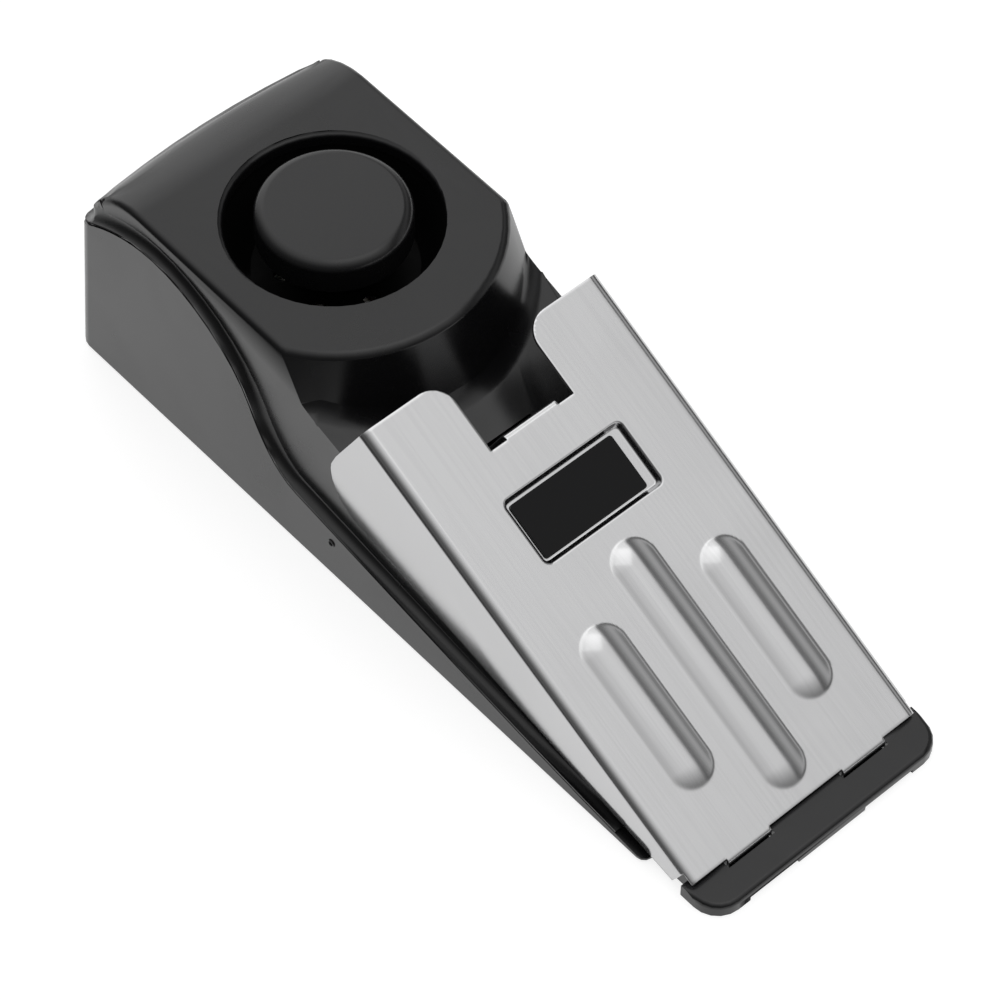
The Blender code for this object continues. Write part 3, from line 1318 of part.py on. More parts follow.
def build_switch_board(board, ribbon_grey):
    start = switch_face(SWITCH_PITCH / 2, SENSITIVITY_TRAVEL) + SWITCH_DEPTH + GAP
    low = BAY_ROOF + GAP
    add_piece("switch_board", centred_block((start, start + BOARD_THICKNESS), SWITCH_BOARD_WIDTH / 2,
                                            (low, low + SWITCH_BOARD_HEIGHT)), board)
    over = BAY_ROOF + 3 * GAP + RIBBON_THICKNESS / 2
    front = BAY_FRONT + BAY_WALL
    path = [(start + BOARD_THICKNESS + GAP, over + RIBBON_THICKNESS), (BATTERY_X + BATTERY_WIDTH / 4, over),
            (front, over), (front + RIBBON_WIDTH / 2, over - RIBBON_WIDTH / 2),
            (front + RIBBON_WIDTH, PCB_TOP + RIBBON_WIDTH / 2),
            (front + 2 * RIBBON_WIDTH, PCB_TOP + GAP + RIBBON_THICKNESS / 2)]
    add_piece("switch_ribbon", prism(strip(path, RIBBON_THICKNESS), RIBBON_WIDTH / 2, RIBBON_Y), ribbon_grey)


# Main board and what it carries

def board_point(shares):
    return PCB_START + shares[0] * PCB_LENGTH, (shares[1] - 1 / 2) * PCB_WIDTH


def build_board(board, metal):
    half = PCB_WIDTH / 2
    plate = centred_block((PCB_START, PCB_START + PCB_LENGTH), half, (PCB_HEIGHT, PCB_TOP))
    for x, y in post_places()[2:]:
        low, high = PCB_HEIGHT - OVERRUN, PCB_TOP + OVERRUN
        plate = cut(plate, rod(x, y, POST_HOLE_RADIUS + GAP, low, high, SCREW_SIDES))
    add_piece("circuit_board", plate, board)
    for number, (x, y) in enumerate(post_places()[2:], 1):
        base = PCB_TOP + GAP
        screw = join(rod(x, y, PCB_SCREW_HEAD, base, base + PCB_SCREW_HEAD_HEIGHT, SCREW_SIDES),
                     rod(x, y, POST_HOLE_RADIUS, base - PCB_SCREW_LENGTH, base + GAP, SCREW_SIDES))
        add_piece("board_screw_" + str(number), screw, metal)


def build_electronics(copper, black, beige, silver):
    base = PCB_TOP + GAP
    x, y = board_point(COIL_SHARES)
    core = COIL_RADIUS - COIL_FLANGE
    spool = [(0, base), (COIL_RADIUS, base), (COIL_RADIUS, base + COIL_FLANGE), (core, base + COIL_FLANGE),
             (core, base + COIL_HEIGHT - COIL_FLANGE), (COIL_RADIUS, base + COIL_HEIGHT - COIL_FLANGE),
             (COIL_RADIUS, base + COIL_HEIGHT), (0, base + COIL_HEIGHT)]
    add_piece("boost_coil", turned(spool, x, y, SCREW_SIDES), copper)
    x, y = board_point(CAPACITOR_SHARES)
    add_piece("capacitor", rod(x, y, CAPACITOR_RADIUS, base, base + CAPACITOR_HEIGHT, SCREW_SIDES), silver)
    x, y = board_point(TRANSISTOR_SHARES)
    outline = arc((x, y), TRANSISTOR_RADIUS, -math.pi / 4, math.pi + math.pi / 4, 10)
    add_piece("transistor", slab(outline, base, base + TRANSISTOR_HEIGHT), black)
    x, y = board_point(CHIP_SHARES)
    chip = block((x - CHIP_LENGTH / 2, x + CHIP_LENGTH / 2), (y - CHIP_WIDTH / 2, y + CHIP_WIDTH / 2),
                 (base, base + CHIP_HEIGHT))
    add_piece("controller_chip", chip, black)
    x, y = board_point(RESISTOR_SHARES)
    for number in range(3):
        place = x + (number - 1) * RESISTOR_PITCH
        half = RESISTOR_LENGTH / 2
        waist = half / 2
        profile = [(0, -half), (RESISTOR_RADIUS, -half),
                   (RESISTOR_RADIUS, -waist), (RESISTOR_WAIST, -waist / 2),
                   (RESISTOR_WAIST, waist / 2), (RESISTOR_RADIUS, waist),
                   (RESISTOR_RADIUS, half), (0, half)]
        shape = turned(profile, 0, 0, 10)
        turn = Matrix.Rotation(math.pi / 2, 4, "X")
        move = Matrix.Translation((place, y, base + RESISTOR_RADIUS))
        bmesh.ops.transform(shape, matrix=move @ turn, verts=shape.verts)
        add_piece("resistor_" + str(number + 1), shape, beige)


# Trigger switch under the catch tongue

def lever_pivot():
    x = TRIGGER_X + LEVER_PIVOT_INSET
    return x, 0, PCB_TOP + GAP + TRIGGER_HEIGHT + LEVER_PIVOT_RISE


def build_trigger(case, metal, button_plastic):
    base = PCB_TOP + GAP
    top = base + TRIGGER_HEIGHT
    body = centred_block((TRIGGER_X, TRIGGER_X + TRIGGER_LENGTH), TRIGGER_WIDTH / 2, (base, top))
    start = TRIGGER_X + BUTTON_INSET
    half = BUTTON_WIDTH / 2
    well = centred_block((start - GAP, start + BUTTON_LENGTH + GAP), half + GAP,
                         (top - BUTTON_SINK - BUTTON_TRAVEL - GAP, top + OVERRUN))
    add_piece("trigger_switch_body", cut(body, well), case)
    button = centred_block((start, start + BUTTON_LENGTH), half, (top - BUTTON_SINK, top + BUTTON_PROUD))
    add_piece("trigger_button", button, button_plastic, (start + BUTTON_LENGTH / 2, 0, top))
    pivot = lever_pivot()
    direction = (math.cos(LEVER_ANGLE), math.sin(LEVER_ANGLE))
    across = (-direction[1] * LEVER_THICKNESS / 2, direction[0] * LEVER_THICKNESS / 2)
    end = (pivot[0] + LEVER_LENGTH * direction[0], pivot[2] + LEVER_LENGTH * direction[1])
    lug = LEVER_THICKNESS / 2
    outline = [(pivot[0] - lug, pivot[2] - LEVER_LUG), (pivot[0] + lug, pivot[2] - LEVER_LUG),
               (pivot[0] + lug, pivot[2] - lug), (end[0] - across[0], end[1] - across[1]),
               (end[0] + across[0], end[1] + across[1]), (pivot[0] - lug, pivot[2] + lug)]
    add_piece("trigger_lever", prism(outline, LEVER_WIDTH / 2), metal, pivot)


# Fasteners, feet and leads

def build_fasteners(metal, rubber):
    for number, (x, y) in enumerate(boss_places(), 1):
        low = BODY_BASE + GAP
        head = rod(x, y, SCREW_HEAD_RADIUS, low, low + SCREW_HEAD_HEIGHT, SCREW_SIDES)
        shank = rod(x, y, SCREW_RADIUS, low + GAP, boss_joint(x) + SCREW_BITE, SCREW_SIDES)
        add_piece("housing_screw_" + str(number), join(head, shank), metal)
    pad = slab(pad_outline(0), 0, BODY_BASE + PAD_SINK)
    add_piece("front_pad", pad, rubber)
    for name, (x, y) in zip(("rear_foot_right", "rear_foot_left"), foot_places()):
        add_piece(name, rod(x, y, FOOT_RADIUS, 0, BODY_BASE + PAD_SINK, SCREW_SIDES), rubber)


def build_leads(red, black):
    deck = PCB_TOP + GAP + LEAD_RADIUS
    start = SNAP_X + SNAP_THICKNESS + GLUE
    front = BAY_FRONT + BAY_WALL
    level = PCB_TOP + LEAD_HOLE_RADIUS
    middle = -BAY_HALF / 2
    for name, shift, material in (("battery_lead_red", -1, red), ("battery_lead_black", 1, black)):
        y = middle + shift * LEAD_PITCH
        end_y = y - LEAD_PITCH
        route = [(start, y, level), (front + LEAD_RADIUS, y, level), (PCB_START, end_y, deck + LEAD_RADIUS),
                 (PCB_START + LEAD_LANDING, end_y, deck)]
        add_piece(name, tube(smooth_route(route, ROUTE_STEPS), LEAD_RADIUS, LEAD_SIDES), material)
    disc = CHAMBER_FLOOR + CHAMBER_WALL + DISC_STEP + 3 * GLUE + 2 * DISC_THICKNESS + LEAD_RADIUS
    for name, side, material in (("siren_lead_red", -1, red), ("siren_lead_black", 1, black)):
        y = side * LEAD_PITCH
        route = [(SIREN_X + CERAMIC_RADIUS / 2, y, disc), (SIREN_X + DISC_RADIUS, y, disc),
                 (SIREN_X + CHAMBER_RADIUS + LEAD_PITCH, y, disc - LEAD_RADIUS / 2),
                 (front + 2 * LEAD_PITCH, 2 * y, (disc + BAY_TOP) / 2),
                 (front + 3 * LEAD_PITCH, SIREN_LEAD_END * side, (BAY_TOP + deck) / 2),
                 (PCB_START + LEAD_RADIUS, SIREN_LEAD_END * side, deck + LEAD_RADIUS),
                 (PCB_START + LEAD_LANDING, SIREN_LEAD_END * side, deck)]
        add_piece(name, tube(smooth_route(route, ROUTE_STEPS), SIREN_LEAD_RADIUS, LEAD_SIDES), material)


def main():
    remove_old_objects()
    body_plastic = finish("body_plastic", (0.020, 0.020, 0.021), 0.32)
    steel = finish("plate_steel", (0.62, 0.62, 0.63), 0.30, 1.0)
    label_black = finish("label_black", (0.012, 0.012, 0.012), 0.45)
    inner_plastic = finish("inner_plastic", (0.030, 0.030, 0.031), 0.50)
    spring_steel = finish("spring_steel", (0.55, 0.55, 0.56), 0.35, 1.0)
    zinc = finish("zinc_steel", (0.60, 0.60, 0.58), 0.40, 1.0)
    brass = finish("brass", (0.70, 0.52, 0.22), 0.35, 1.0)
    ceramic = finish("ceramic_white", (0.80, 0.79, 0.75), 0.50)
    board = finish("board_green", (0.02, 0.14, 0.06), 0.45)
    copper = finish("coil_copper", (0.55, 0.25, 0.12), 0.40, 1.0)
    resistor_beige = finish("resistor_beige", (0.60, 0.48, 0.32), 0.50)
    capacitor_sleeve = finish("capacitor_sleeve", (0.03, 0.05, 0.14), 0.35)
    ribbon_grey = finish("ribbon_grey", (0.42, 0.42, 0.43), 0.55)
    battery_case = finish("battery_case", (0.10, 0.10, 0.11), 0.35)
    lead_red = finish("lead_red", (0.55, 0.03, 0.03), 0.45)
    lead_black = finish("lead_black", (0.02, 0.02, 0.02), 0.45)
    rubber = finish("rubber", (0.025, 0.025, 0.025), 0.80)

    build_upper_housing(body_plastic)
    build_lower_housing(body_plastic)
    build_pressure_plate(steel)
    build_label_plate(label_black)
    build_return_spring(spring_steel)
    build_siren(inner_plastic, brass, ceramic)
    build_battery(battery_case, inner_plastic)
    build_battery_door(body_plastic)
    build_switch("power_switch_body", "power_knob", -SWITCH_PITCH / 2, POWER_TRAVEL, zinc, inner_plastic)
    build_switch("sensitivity_switch_body", "sensitivity_knob", SWITCH_PITCH / 2, SENSITIVITY_TRAVEL, zinc,
                 inner_plastic)
    build_switch_board(board, ribbon_grey)
    build_board(board, zinc)
    build_electronics(copper, inner_plastic, resistor_beige, capacitor_sleeve)
    build_trigger(inner_plastic, spring_steel, ceramic)
    build_fasteners(zinc, rubber)
    build_leads(lead_red, lead_black)


main()
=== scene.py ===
# %% [markdown]
# # A wedge door stop alarm
# The object is a black moulded wedge with a siren in its high end. A steel plate lies on
# the ramp: a door that is pushed open presses it down and sets the siren off.
# Each cell below finishes a piece or a group of pieces. Lengths are in metres.

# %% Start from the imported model
import json
import math
import bmesh
import bpy
import numpy as np
from mathutils import Matrix, Vector


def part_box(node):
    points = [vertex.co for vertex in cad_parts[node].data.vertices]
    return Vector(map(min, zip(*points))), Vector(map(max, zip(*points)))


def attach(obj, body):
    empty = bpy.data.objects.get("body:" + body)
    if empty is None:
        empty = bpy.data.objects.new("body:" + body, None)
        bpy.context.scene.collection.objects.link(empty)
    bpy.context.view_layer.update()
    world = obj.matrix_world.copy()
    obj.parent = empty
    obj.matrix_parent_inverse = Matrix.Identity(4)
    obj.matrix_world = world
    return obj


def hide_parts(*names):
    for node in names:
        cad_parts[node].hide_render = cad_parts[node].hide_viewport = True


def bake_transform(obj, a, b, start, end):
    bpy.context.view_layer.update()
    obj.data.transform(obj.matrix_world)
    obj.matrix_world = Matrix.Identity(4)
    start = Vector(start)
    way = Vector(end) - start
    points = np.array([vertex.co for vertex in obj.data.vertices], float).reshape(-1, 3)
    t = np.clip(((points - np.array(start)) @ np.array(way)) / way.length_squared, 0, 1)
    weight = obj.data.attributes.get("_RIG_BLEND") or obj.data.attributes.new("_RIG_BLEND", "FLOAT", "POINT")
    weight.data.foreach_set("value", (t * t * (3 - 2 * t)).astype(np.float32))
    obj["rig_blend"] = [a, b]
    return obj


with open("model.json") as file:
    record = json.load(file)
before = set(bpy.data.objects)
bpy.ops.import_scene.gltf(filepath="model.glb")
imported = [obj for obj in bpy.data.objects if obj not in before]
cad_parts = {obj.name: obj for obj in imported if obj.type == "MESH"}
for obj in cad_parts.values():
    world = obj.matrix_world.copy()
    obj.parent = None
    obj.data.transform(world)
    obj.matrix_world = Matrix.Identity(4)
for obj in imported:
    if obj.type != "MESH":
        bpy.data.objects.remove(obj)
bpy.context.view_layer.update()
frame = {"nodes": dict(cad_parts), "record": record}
record = frame["record"]
BODY_OF = {node: body for body, nodes in record["behaviour"]["bodies"].items() for node in nodes}
SLOT_OF = {part["node"]: part["material_slot"] for part in record["subparts"]}

# %% [markdown]
# The sizes that several pieces share. Places along the body are told from the corners of
# its rear face, and the model's origin is in the middle of its length.

# %% Shared sizes
MM = 0.001
MIDDLE = 70.05 * MM
SIREN_X = 34.7 * MM - MIDDLE
HEAD_TOP = 40.5 * MM
PLATE_FRONT = Vector((136.3 * MM - MIDDLE, 0, 3.42 * MM))
PLATE_LENGTH = 78.176 * MM
PLATE_ANGLE = math.radians(27.57)
SHEET = 0.6 * MM
BEND = 0.9 * MM
SIDE_BEND = 1.7 * MM
HALF_WEB = 22.5 * MM - SIDE_BEND
SIDE_FLAT = HALF_WEB + (SIDE_BEND - SHEET / 2) * math.pi / 2
NOTCH_START = 65.776 * MM
NOTCH_HALF = 7.85 * MM
TONGUE_HALF = 4.9 * MM
TONGUE_DEPTH = 13.45 * MM
NOTCH_CORNER = 4.0 * MM
WELD = 2e-6
ONE_FLAT = math.radians(0.3)


def along_plate(along, across=0.0, above=0.0):
    """A point on the plate: up the slope from its front edge, across, and above its face."""
    turn = Matrix.Rotation(PLATE_ANGLE, 4, "Y")
    return PLATE_FRONT + turn @ Vector((-along, across, above))


print("plate's rear edge", [round(value / MM, 1) for value in along_plate(PLATE_LENGTH)])

# %% [markdown]
# The picture is taken from above the toe, with a long lens. The camera was fitted to
# corners of the object whose sizes are known, so that both pictures can be laid over
# each other.

# %% Camera
AZIMUTH, ELEVATION, ROLL = (math.radians(angle) for angle in (47.75, 52.97, 0.62))
AIM = Vector((-0.00005, 0, 0.0156))
DISTANCE = 0.60924
SHIFT = (0.00077, -0.00487)


def camera_axes():
    """Right, up and backward directions of the camera, its roll included."""
    sin_a, cos_a = math.sin(AZIMUTH), math.cos(AZIMUTH)
    sin_e, cos_e = math.sin(ELEVATION), math.cos(ELEVATION)
    back = Vector((sin_a * cos_e, -cos_a * cos_e, sin_e))
    right = Vector((cos_a, sin_a, 0))
    up = Vector((-sin_a * sin_e, cos_a * sin_e, cos_e))
    level, rise = math.cos(ROLL), math.sin(ROLL)
    return level * right + rise * up, level * up - rise * right, back


right, up, back = camera_axes()
camera = bpy.data.objects.new("photo_camera", bpy.data.cameras.new("photo_camera"))
camera.data.lens = 149.82
camera.data.sensor_width = 36
camera.data.clip_end = 20
turn = Matrix((right, up, back)).transposed().to_4x4()
camera.matrix_world = Matrix.Translation(AIM + DISTANCE * back + SHIFT[0] * right + SHIFT[1] * up) @ turn
bpy.context.scene.collection.objects.link(camera)
bpy.context.scene.camera = camera
print("camera stands at", [round(value, 3) for value in camera.location])

# %% [markdown]
# Small tools for node trees. Each adds one kind of node and joins up its inputs, so that
# the recipes further down read as a list of steps.

# %% Node helpers


def node(tree, kind, inputs=None, **settings):
    """Add a node; inputs may be values or sockets of other nodes."""
    made = tree.nodes.new(kind)
    for name, value in settings.items():
        setattr(made, name, value)
    for name, value in (inputs or {}).items():
        if isinstance(value, bpy.types.NodeSocket):
            tree.links.new(value, made.inputs[name])
        else:
            made.inputs[name].default_value = value
    return made


def maths(tree, operation, *values):
    """One sum, product or the like, of values or sockets."""
    inputs = dict(enumerate(values))
    return node(tree, "ShaderNodeMath", inputs, operation=operation).outputs[0]


def ramp(tree, value, stops):
    """A ramp through stops of a place and a grey."""
    made = node(tree, "ShaderNodeValToRGB", {"Fac": value})
    points = made.color_ramp.elements
    while len(points) < len(stops):
        points.new(0.5)
    for point, (place, grey) in zip(points, stops):
        point.position = place
        point.color = (grey, grey, grey, 1)
    return made.outputs["Color"]


def blended(tree, share, first, second):
    """Mix two colours by a share."""
    made = node(tree, "ShaderNodeMix", {"Factor": share}, data_type="RGBA")
    for socket, value in zip((made.inputs[6], made.inputs[7]), (first, second)):
        if isinstance(value, bpy.types.NodeSocket):
            tree.links.new(value, socket)
        else:
            socket.default_value = (*value, 1)
    return made.outputs[2]


def effect(name, inputs, outputs):
    """A new node group with its sockets, and its input and output nodes."""
    tree = bpy.data.node_groups.new(name, "ShaderNodeTree")
    for label, kind, value in inputs:
        socket = tree.interface.new_socket(label, in_out="INPUT", socket_type="NodeSocket" + kind)
        if value is not None:
            socket.default_value = value
    for label, kind in outputs:
        tree.interface.new_socket(label, in_out="OUTPUT", socket_type="NodeSocket" + kind)
    return tree, tree.nodes.new("NodeGroupInput"), tree.nodes.new("NodeGroupOutput")


# %% [markdown]
# Three effects are shared by several materials. A moulded surface copies the fine sparks
# of its steel tool. Sheet and wire carry hair-thin lines along the way they were rolled
# or drawn. And whatever is handled picks up faint clouds where its shine differs.

# %% Shared surface effects


def moulded_grain():
    tree, start, end = effect("moulded grain", [("Vector", "Vector", None), ("Scale", "Float", 1500.0)],
                              [("Height", "Float"), ("Mask", "Float")])
    pits = node(tree, "ShaderNodeTexNoise", {"Vector": start.outputs[0], "Scale": start.outputs[1],
                                             "Detail": 3.0, "Roughness": 0.6})
    slow = node(tree, "ShaderNodeTexNoise", {"Vector": start.outputs[0], "Scale": 55.0, "Detail": 2.0})
    tree.links.new(pits.outputs["Fac"], end.inputs[0])
    tree.links.new(maths(tree, "MULTIPLY", slow.outputs["Fac"], pits.outputs["Fac"]), end.inputs[1])
    return tree


def drawn_lines():
    inputs = [("Vector", "Vector", None), ("Stretch", "Vector", (60, 4000, 60))]
    tree, start, end = effect("drawn lines", inputs, [("Height", "Float"), ("Mask", "Float")])
    stretched = node(tree, "ShaderNodeVectorMath", {0: start.outputs[0], 1: start.outputs[1]},
                     operation="MULTIPLY")
    lines = node(tree, "ShaderNodeTexNoise", {"Vector": stretched.outputs[0], "Scale": 1.0, "Detail": 4.0})
    tree.links.new(lines.outputs["Fac"], end.inputs[0])
    strong = ramp(tree, lines.outputs["Fac"], [(0.42, 0.0), (0.62, 1.0)])
    tree.links.new(strong, end.inputs[1])
    return tree


def handling_clouds():
    tree, start, end = effect("handling clouds", [("Vector", "Vector", None), ("Scale", "Float", 60.0)],
                              [("Mask", "Float")])
    bent = node(tree, "ShaderNodeTexNoise", {"Vector": start.outputs[0], "Scale": start.outputs[1],
                                             "Detail": 5.0, "Distortion": 0.8})
    tree.links.new(ramp(tree, bent.outputs["Fac"], [(0.35, 0.0), (0.72, 1.0)]), end.inputs[0])
    return tree


GRAIN, LINES, CLOUDS = moulded_grain(), drawn_lines(), handling_clouds()
print("effects:", [group.name for group in (GRAIN, LINES, CLOUDS)])

# %% [markdown]
# Every material starts the same way: a Principled shader, object coordinates, and a small
# bump from one of the effects. The numbers decide whether it is a satin moulding, a
# rolled sheet or a soft rubber.

# %% Materials


def start_material(name):
    made = bpy.data.materials.new(name)
    made.use_nodes = True
    tree = made.node_tree
    shader = tree.nodes["Principled BSDF"]
    place = node(tree, "ShaderNodeTexCoord").outputs["Object"]
    return made, tree, shader, place


def use_effect(tree, group, place, **values):
    made = node(tree, "ShaderNodeGroup", node_tree=group)
    tree.links.new(place, made.inputs["Vector"])
    for name, value in values.items():
        made.inputs[name].default_value = value
    return made


def add_bump(tree, shader, height, distance):
    bump = node(tree, "ShaderNodeBump", {"Height": height, "Strength": 1.0, "Distance": distance})
    tree.links.new(bump.outputs[0], shader.inputs["Normal"])


def vary_roughness(tree, shader, mask, low, high):
    span = maths(tree, "MULTIPLY", mask, high - low)
    tree.links.new(maths(tree, "ADD", span, low), shader.inputs["Roughness"])


def textured(name, effect_used, settings, clouds, colours, roughness, spread, depth):
    """A material with an effect in its colour and its bump, and clouds in its shine."""
    made, tree, shader, place = start_material(name)
    surface = use_effect(tree, effect_used, place, **settings)
    handled = use_effect(tree, CLOUDS, place, Scale=clouds)
    tree.links.new(blended(tree, surface.outputs["Mask"], *colours), shader.inputs["Base Color"])
    vary_roughness(tree, shader, handled.outputs["Mask"], roughness, roughness + spread)
    add_bump(tree, shader, surface.outputs["Height"], depth)
    return made, shader


def moulded(name, colour, roughness, spread=0.10, grain=1500.0, depth=4e-6, tint=1.25, shine=0.5):
    """Moulded plastic or rubber: fine grain, with clouds where it has been handled."""
    colours = (colour, tuple(min(1.0, value * tint) for value in colour))
    made, shader = textured(name, GRAIN, {"Scale": grain}, 70.0, colours, roughness, spread, depth)
    shader.inputs["IOR"].default_value = 1.5
    shader.inputs["Specular IOR Level"].default_value = shine
    return made


def rolled(name, colour, roughness, spread=0.08, stretch=(60, 3000, 60), depth=1.5e-6, darker=0.9):
    """Sheet or wire: hair lines one way, and slow clouds in the shine."""
    colours = (colour, tuple(value * darker for value in colour))
    made, shader = textured(name, LINES, {"Stretch": stretch}, 45.0, colours, roughness, spread, depth)
    shader.inputs["Metallic"].default_value = 1.0
    return made


SKIN = {
    "body_plastic": moulded("satin black moulding", (0.0065, 0.0065, 0.007), 0.22, 0.07, 1500.0, 1.5e-6),
    "plate_steel": rolled("pressed sheet steel", (0.575, 0.575, 0.58), 0.16, 0.04,
                          (40, 2600, 40), 3e-7, 0.97),
    "label_black": moulded("black name plate", (0.004, 0.004, 0.0045), 0.10, 0.06,
                           3000.0, 5e-7, shine=0.15),
    "inner_plastic": moulded("plain black moulding", (0.006, 0.006, 0.0065), 0.30, 0.1, 1100.0, 3e-6),
    "spring_steel": rolled("drawn spring wire", (0.42, 0.42, 0.43), 0.22, 0.1, (900, 900, 900)),
    "zinc_steel": rolled("zinc plating", (0.62, 0.63, 0.62), 0.30, 0.12, (700, 900, 900), 3e-6, 0.75),
    "brass": rolled("rolled brass", (0.72, 0.50, 0.20), 0.25, 0.15, (120, 3000, 3000)),
    "ceramic_white": moulded("fired ceramic", (0.78, 0.76, 0.70), 0.35, 0.15, 2500.0, 4e-6, 0.92),
    "coil_copper": rolled("copper winding", (0.60, 0.24, 0.10), 0.22, 0.1, (80, 80, 3500), 2e-6),
    "capacitor_sleeve": moulded("shrunk sleeve", (0.02, 0.035, 0.11), 0.2, 0.1, 900.0, 2e-6),
    "lead_red": moulded("red wire sleeve", (0.46, 0.02, 0.015), 0.32, 0.1, 900.0, 3e-6),
    "lead_black": moulded("black wire sleeve", (0.015, 0.015, 0.015), 0.32, 0.1, 900.0, 3e-6),
    "rubber": moulded("soft black rubber", (0.022, 0.022, 0.022), 0.62, 0.12, 800.0, 1.4e-5, 1.6),
    "battery_case": rolled("lacquered steel jacket", (0.10, 0.10, 0.11), 0.32, 0.12, (80, 1500, 1500)),
    "board_green": moulded("board lacquer", (0.008, 0.075, 0.028), 0.22, 0.12, 1400.0, 3e-6, 1.7),
    "ribbon_grey": moulded("flat cable", (0.36, 0.36, 0.37), 0.4, 0.1, 900.0, 3e-6),
}
RESISTOR_START, RESISTOR_LENGTH = 7.2 * MM, 3.6 * MM


def banded(name, body, bands):
    """Resistor lacquer with coloured rings; each band is (share of the length, width share, colour)."""
    made, tree, shader, place = start_material(name)
    across = node(tree, "ShaderNodeSeparateXYZ", {0: place}).outputs["Y"]
    share = maths(tree, "DIVIDE", maths(tree, "SUBTRACT", across, RESISTOR_START), RESISTOR_LENGTH)
    colour = body
    for middle, width, ring in bands:
        away = maths(tree, "ABSOLUTE", maths(tree, "SUBTRACT", share, middle))
        colour = blended(tree, maths(tree, "LESS_THAN", away, width / 2), colour, ring)
    tree.links.new(colour, shader.inputs["Base Color"])
    surface = use_effect(tree, GRAIN, place, Scale=1800.0)
    vary_roughness(tree, shader, surface.outputs["Mask"], 0.3, 0.4)
    add_bump(tree, shader, surface.outputs["Height"], 3e-6)
    return made


BANDS = ((0.24, 0.09, (0.10, 0.03, 0.01)), (0.42, 0.09, (0.01, 0.01, 0.01)),
         (0.58, 0.09, (0.35, 0.02, 0.01)), (0.78, 0.09, (0.45, 0.30, 0.06)))
SKIN["resistor_beige"] = banded("banded resistor lacquer", (0.52, 0.36, 0.20), BANDS)
# Painted shade: the horn's black is darker than the other mouldings, so that the deep ring round the cap
# stays dark.
HORN_PAINTED_SHADE_BLACK = moulded("dull horn black with painted shade", (0.002, 0.002, 0.002), 0.55, 0.1, 900.0, 3e-6, shine=0.1)
print(len(SKIN) + 1, "materials for", len(set(SLOT_OF.values())), "slots")

# %% [markdown]
# A finished piece takes the place of its CAD node: it moves with the same body and hides the
# node.

# %% Piece helpers


def new_piece(name, shape, material, crease=35.0):
    """Make an object from a bmesh, smooth but for edges sharper than crease degrees."""
    bmesh.ops.recalc_face_normals(shape, faces=shape.faces)
    mesh = bpy.data.meshes.new(name)
    shape.to_mesh(mesh)
    shape.free()
    mesh.shade_smooth()
    mesh.set_sharp_from_angle(angle=math.radians(crease))
    mesh.materials.append(material)
    made = bpy.data.objects.new(name, mesh)
    bpy.context.scene.collection.objects.link(made)
    return made


def stand_in(piece, *nodes, body=None, slot=None):
    """Put a finished piece in place of CAD nodes."""
    if "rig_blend" not in piece:
        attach(piece, body or BODY_OF[nodes[0]])
    if nodes:
        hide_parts(*nodes)
    return piece


def merged_copy(name):
    """The CAD node's mesh with its doubled corners merged and its flat faces whole."""
    shape = bmesh.new()
    shape.from_mesh(frame["nodes"][name].data)
    bmesh.ops.remove_doubles(shape, verts=shape.verts, dist=WELD)
    bmesh.ops.dissolve_limit(shape, angle_limit=ONE_FLAT, verts=shape.verts, edges=shape.edges)
    return shape


def sharp_edges(shape, least):
    """Outward edges sharper than least degrees."""
    return [edge for edge in shape.edges if len(edge.link_faces) == 2 and edge.is_convex
            and edge.calc_face_angle() > math.radians(least)]


def edges_of(verts):
    """The edges at these points, each once, and in the same order in each run."""
    return list(dict.fromkeys(edge for vert in verts for edge in vert.link_edges))


def round_edges(shape, edges, width, steps, clamp=True):
    bmesh.ops.bevel(shape, geom=edges, offset=width, offset_type="OFFSET", segments=steps, profile=0.5,
                    affect="EDGES", clamp_overlap=clamp, material=-1)


def soften(shape, width, steps=2, least=40.0):
    """Break the sharp edges of a shape."""
    round_edges(shape, sharp_edges(shape, least), width, steps)
    return shape


def keep_flats_flat(piece):
    weighted = piece.modifiers.new("flat faces stay flat", "WEIGHTED_NORMAL")
    weighted.keep_sharp = True
    weighted.weight = 100
    return piece


def softened_node(name, width, steps=2, material=None):
    """Copy a CAD node, break its edges and put the copy in its place."""
    shape = soften(merged_copy(name), width, steps)
    piece = new_piece(name + "_finished", shape, material or SKIN[SLOT_OF[name]])
    return stand_in(keep_flats_flat(piece), name)


# %% [markdown]
# The two housings are injection mouldings that meet on the curved seam. Their edges are
# broken by little more than a tenth of a millimetre, which is enough to catch a line of
# light. The upper one also gets a hollow rounding at the foot of the head's front, fuller
# rear corners and a round toe.

# %% Housings
CONE_TOP_RADIUS, CONE_SLOPE = 25.3 * MM, math.radians(17.3)
CONE_NORMAL = Vector((math.cos(CONE_SLOPE), 0, math.sin(CONE_SLOPE)))
ON_CONE, LIKE_CONE = 0.06 * MM, 0.995
FOOT_ROUND, FOOT_BEND = 2.2 * MM, math.radians(25)
HEAD_HALF, CORNER_REAR = 21.6 * MM, 3.14 * MM - MIDDLE
CAD_CORNER, REAL_CORNER = 4.6 * MM, 2.6 * MM
CORNER_EASE, CORNER_RISE = 16.0 * MM, 1.3 * MM
SMOOTH_SIDE, SMOOTH_LOW, SMOOTH_HIGH = 2.0 * MM, 0.3 * MM, 5.4 * MM
SMOOTH_STEPS = 5
SEAM_START, SEAM_RISE = 27.73 * MM, 0.67
TOE_TOP, TOE_ROUND = 2.4 * MM, 0.8 * MM
TOE_START, TOE_TIP, TOE_SIDE = 136.9 * MM - MIDDLE, 139.5 * MM - MIDDLE, 17.0 * MM


def cone_direction(place):
    """The way that the head's round front faces beside a point."""
    out = Vector((place.x - SIREN_X, place.y, 0)).normalized()
    return Vector((out.x * CONE_NORMAL.x, out.y * CONE_NORMAL.x, CONE_NORMAL.z))


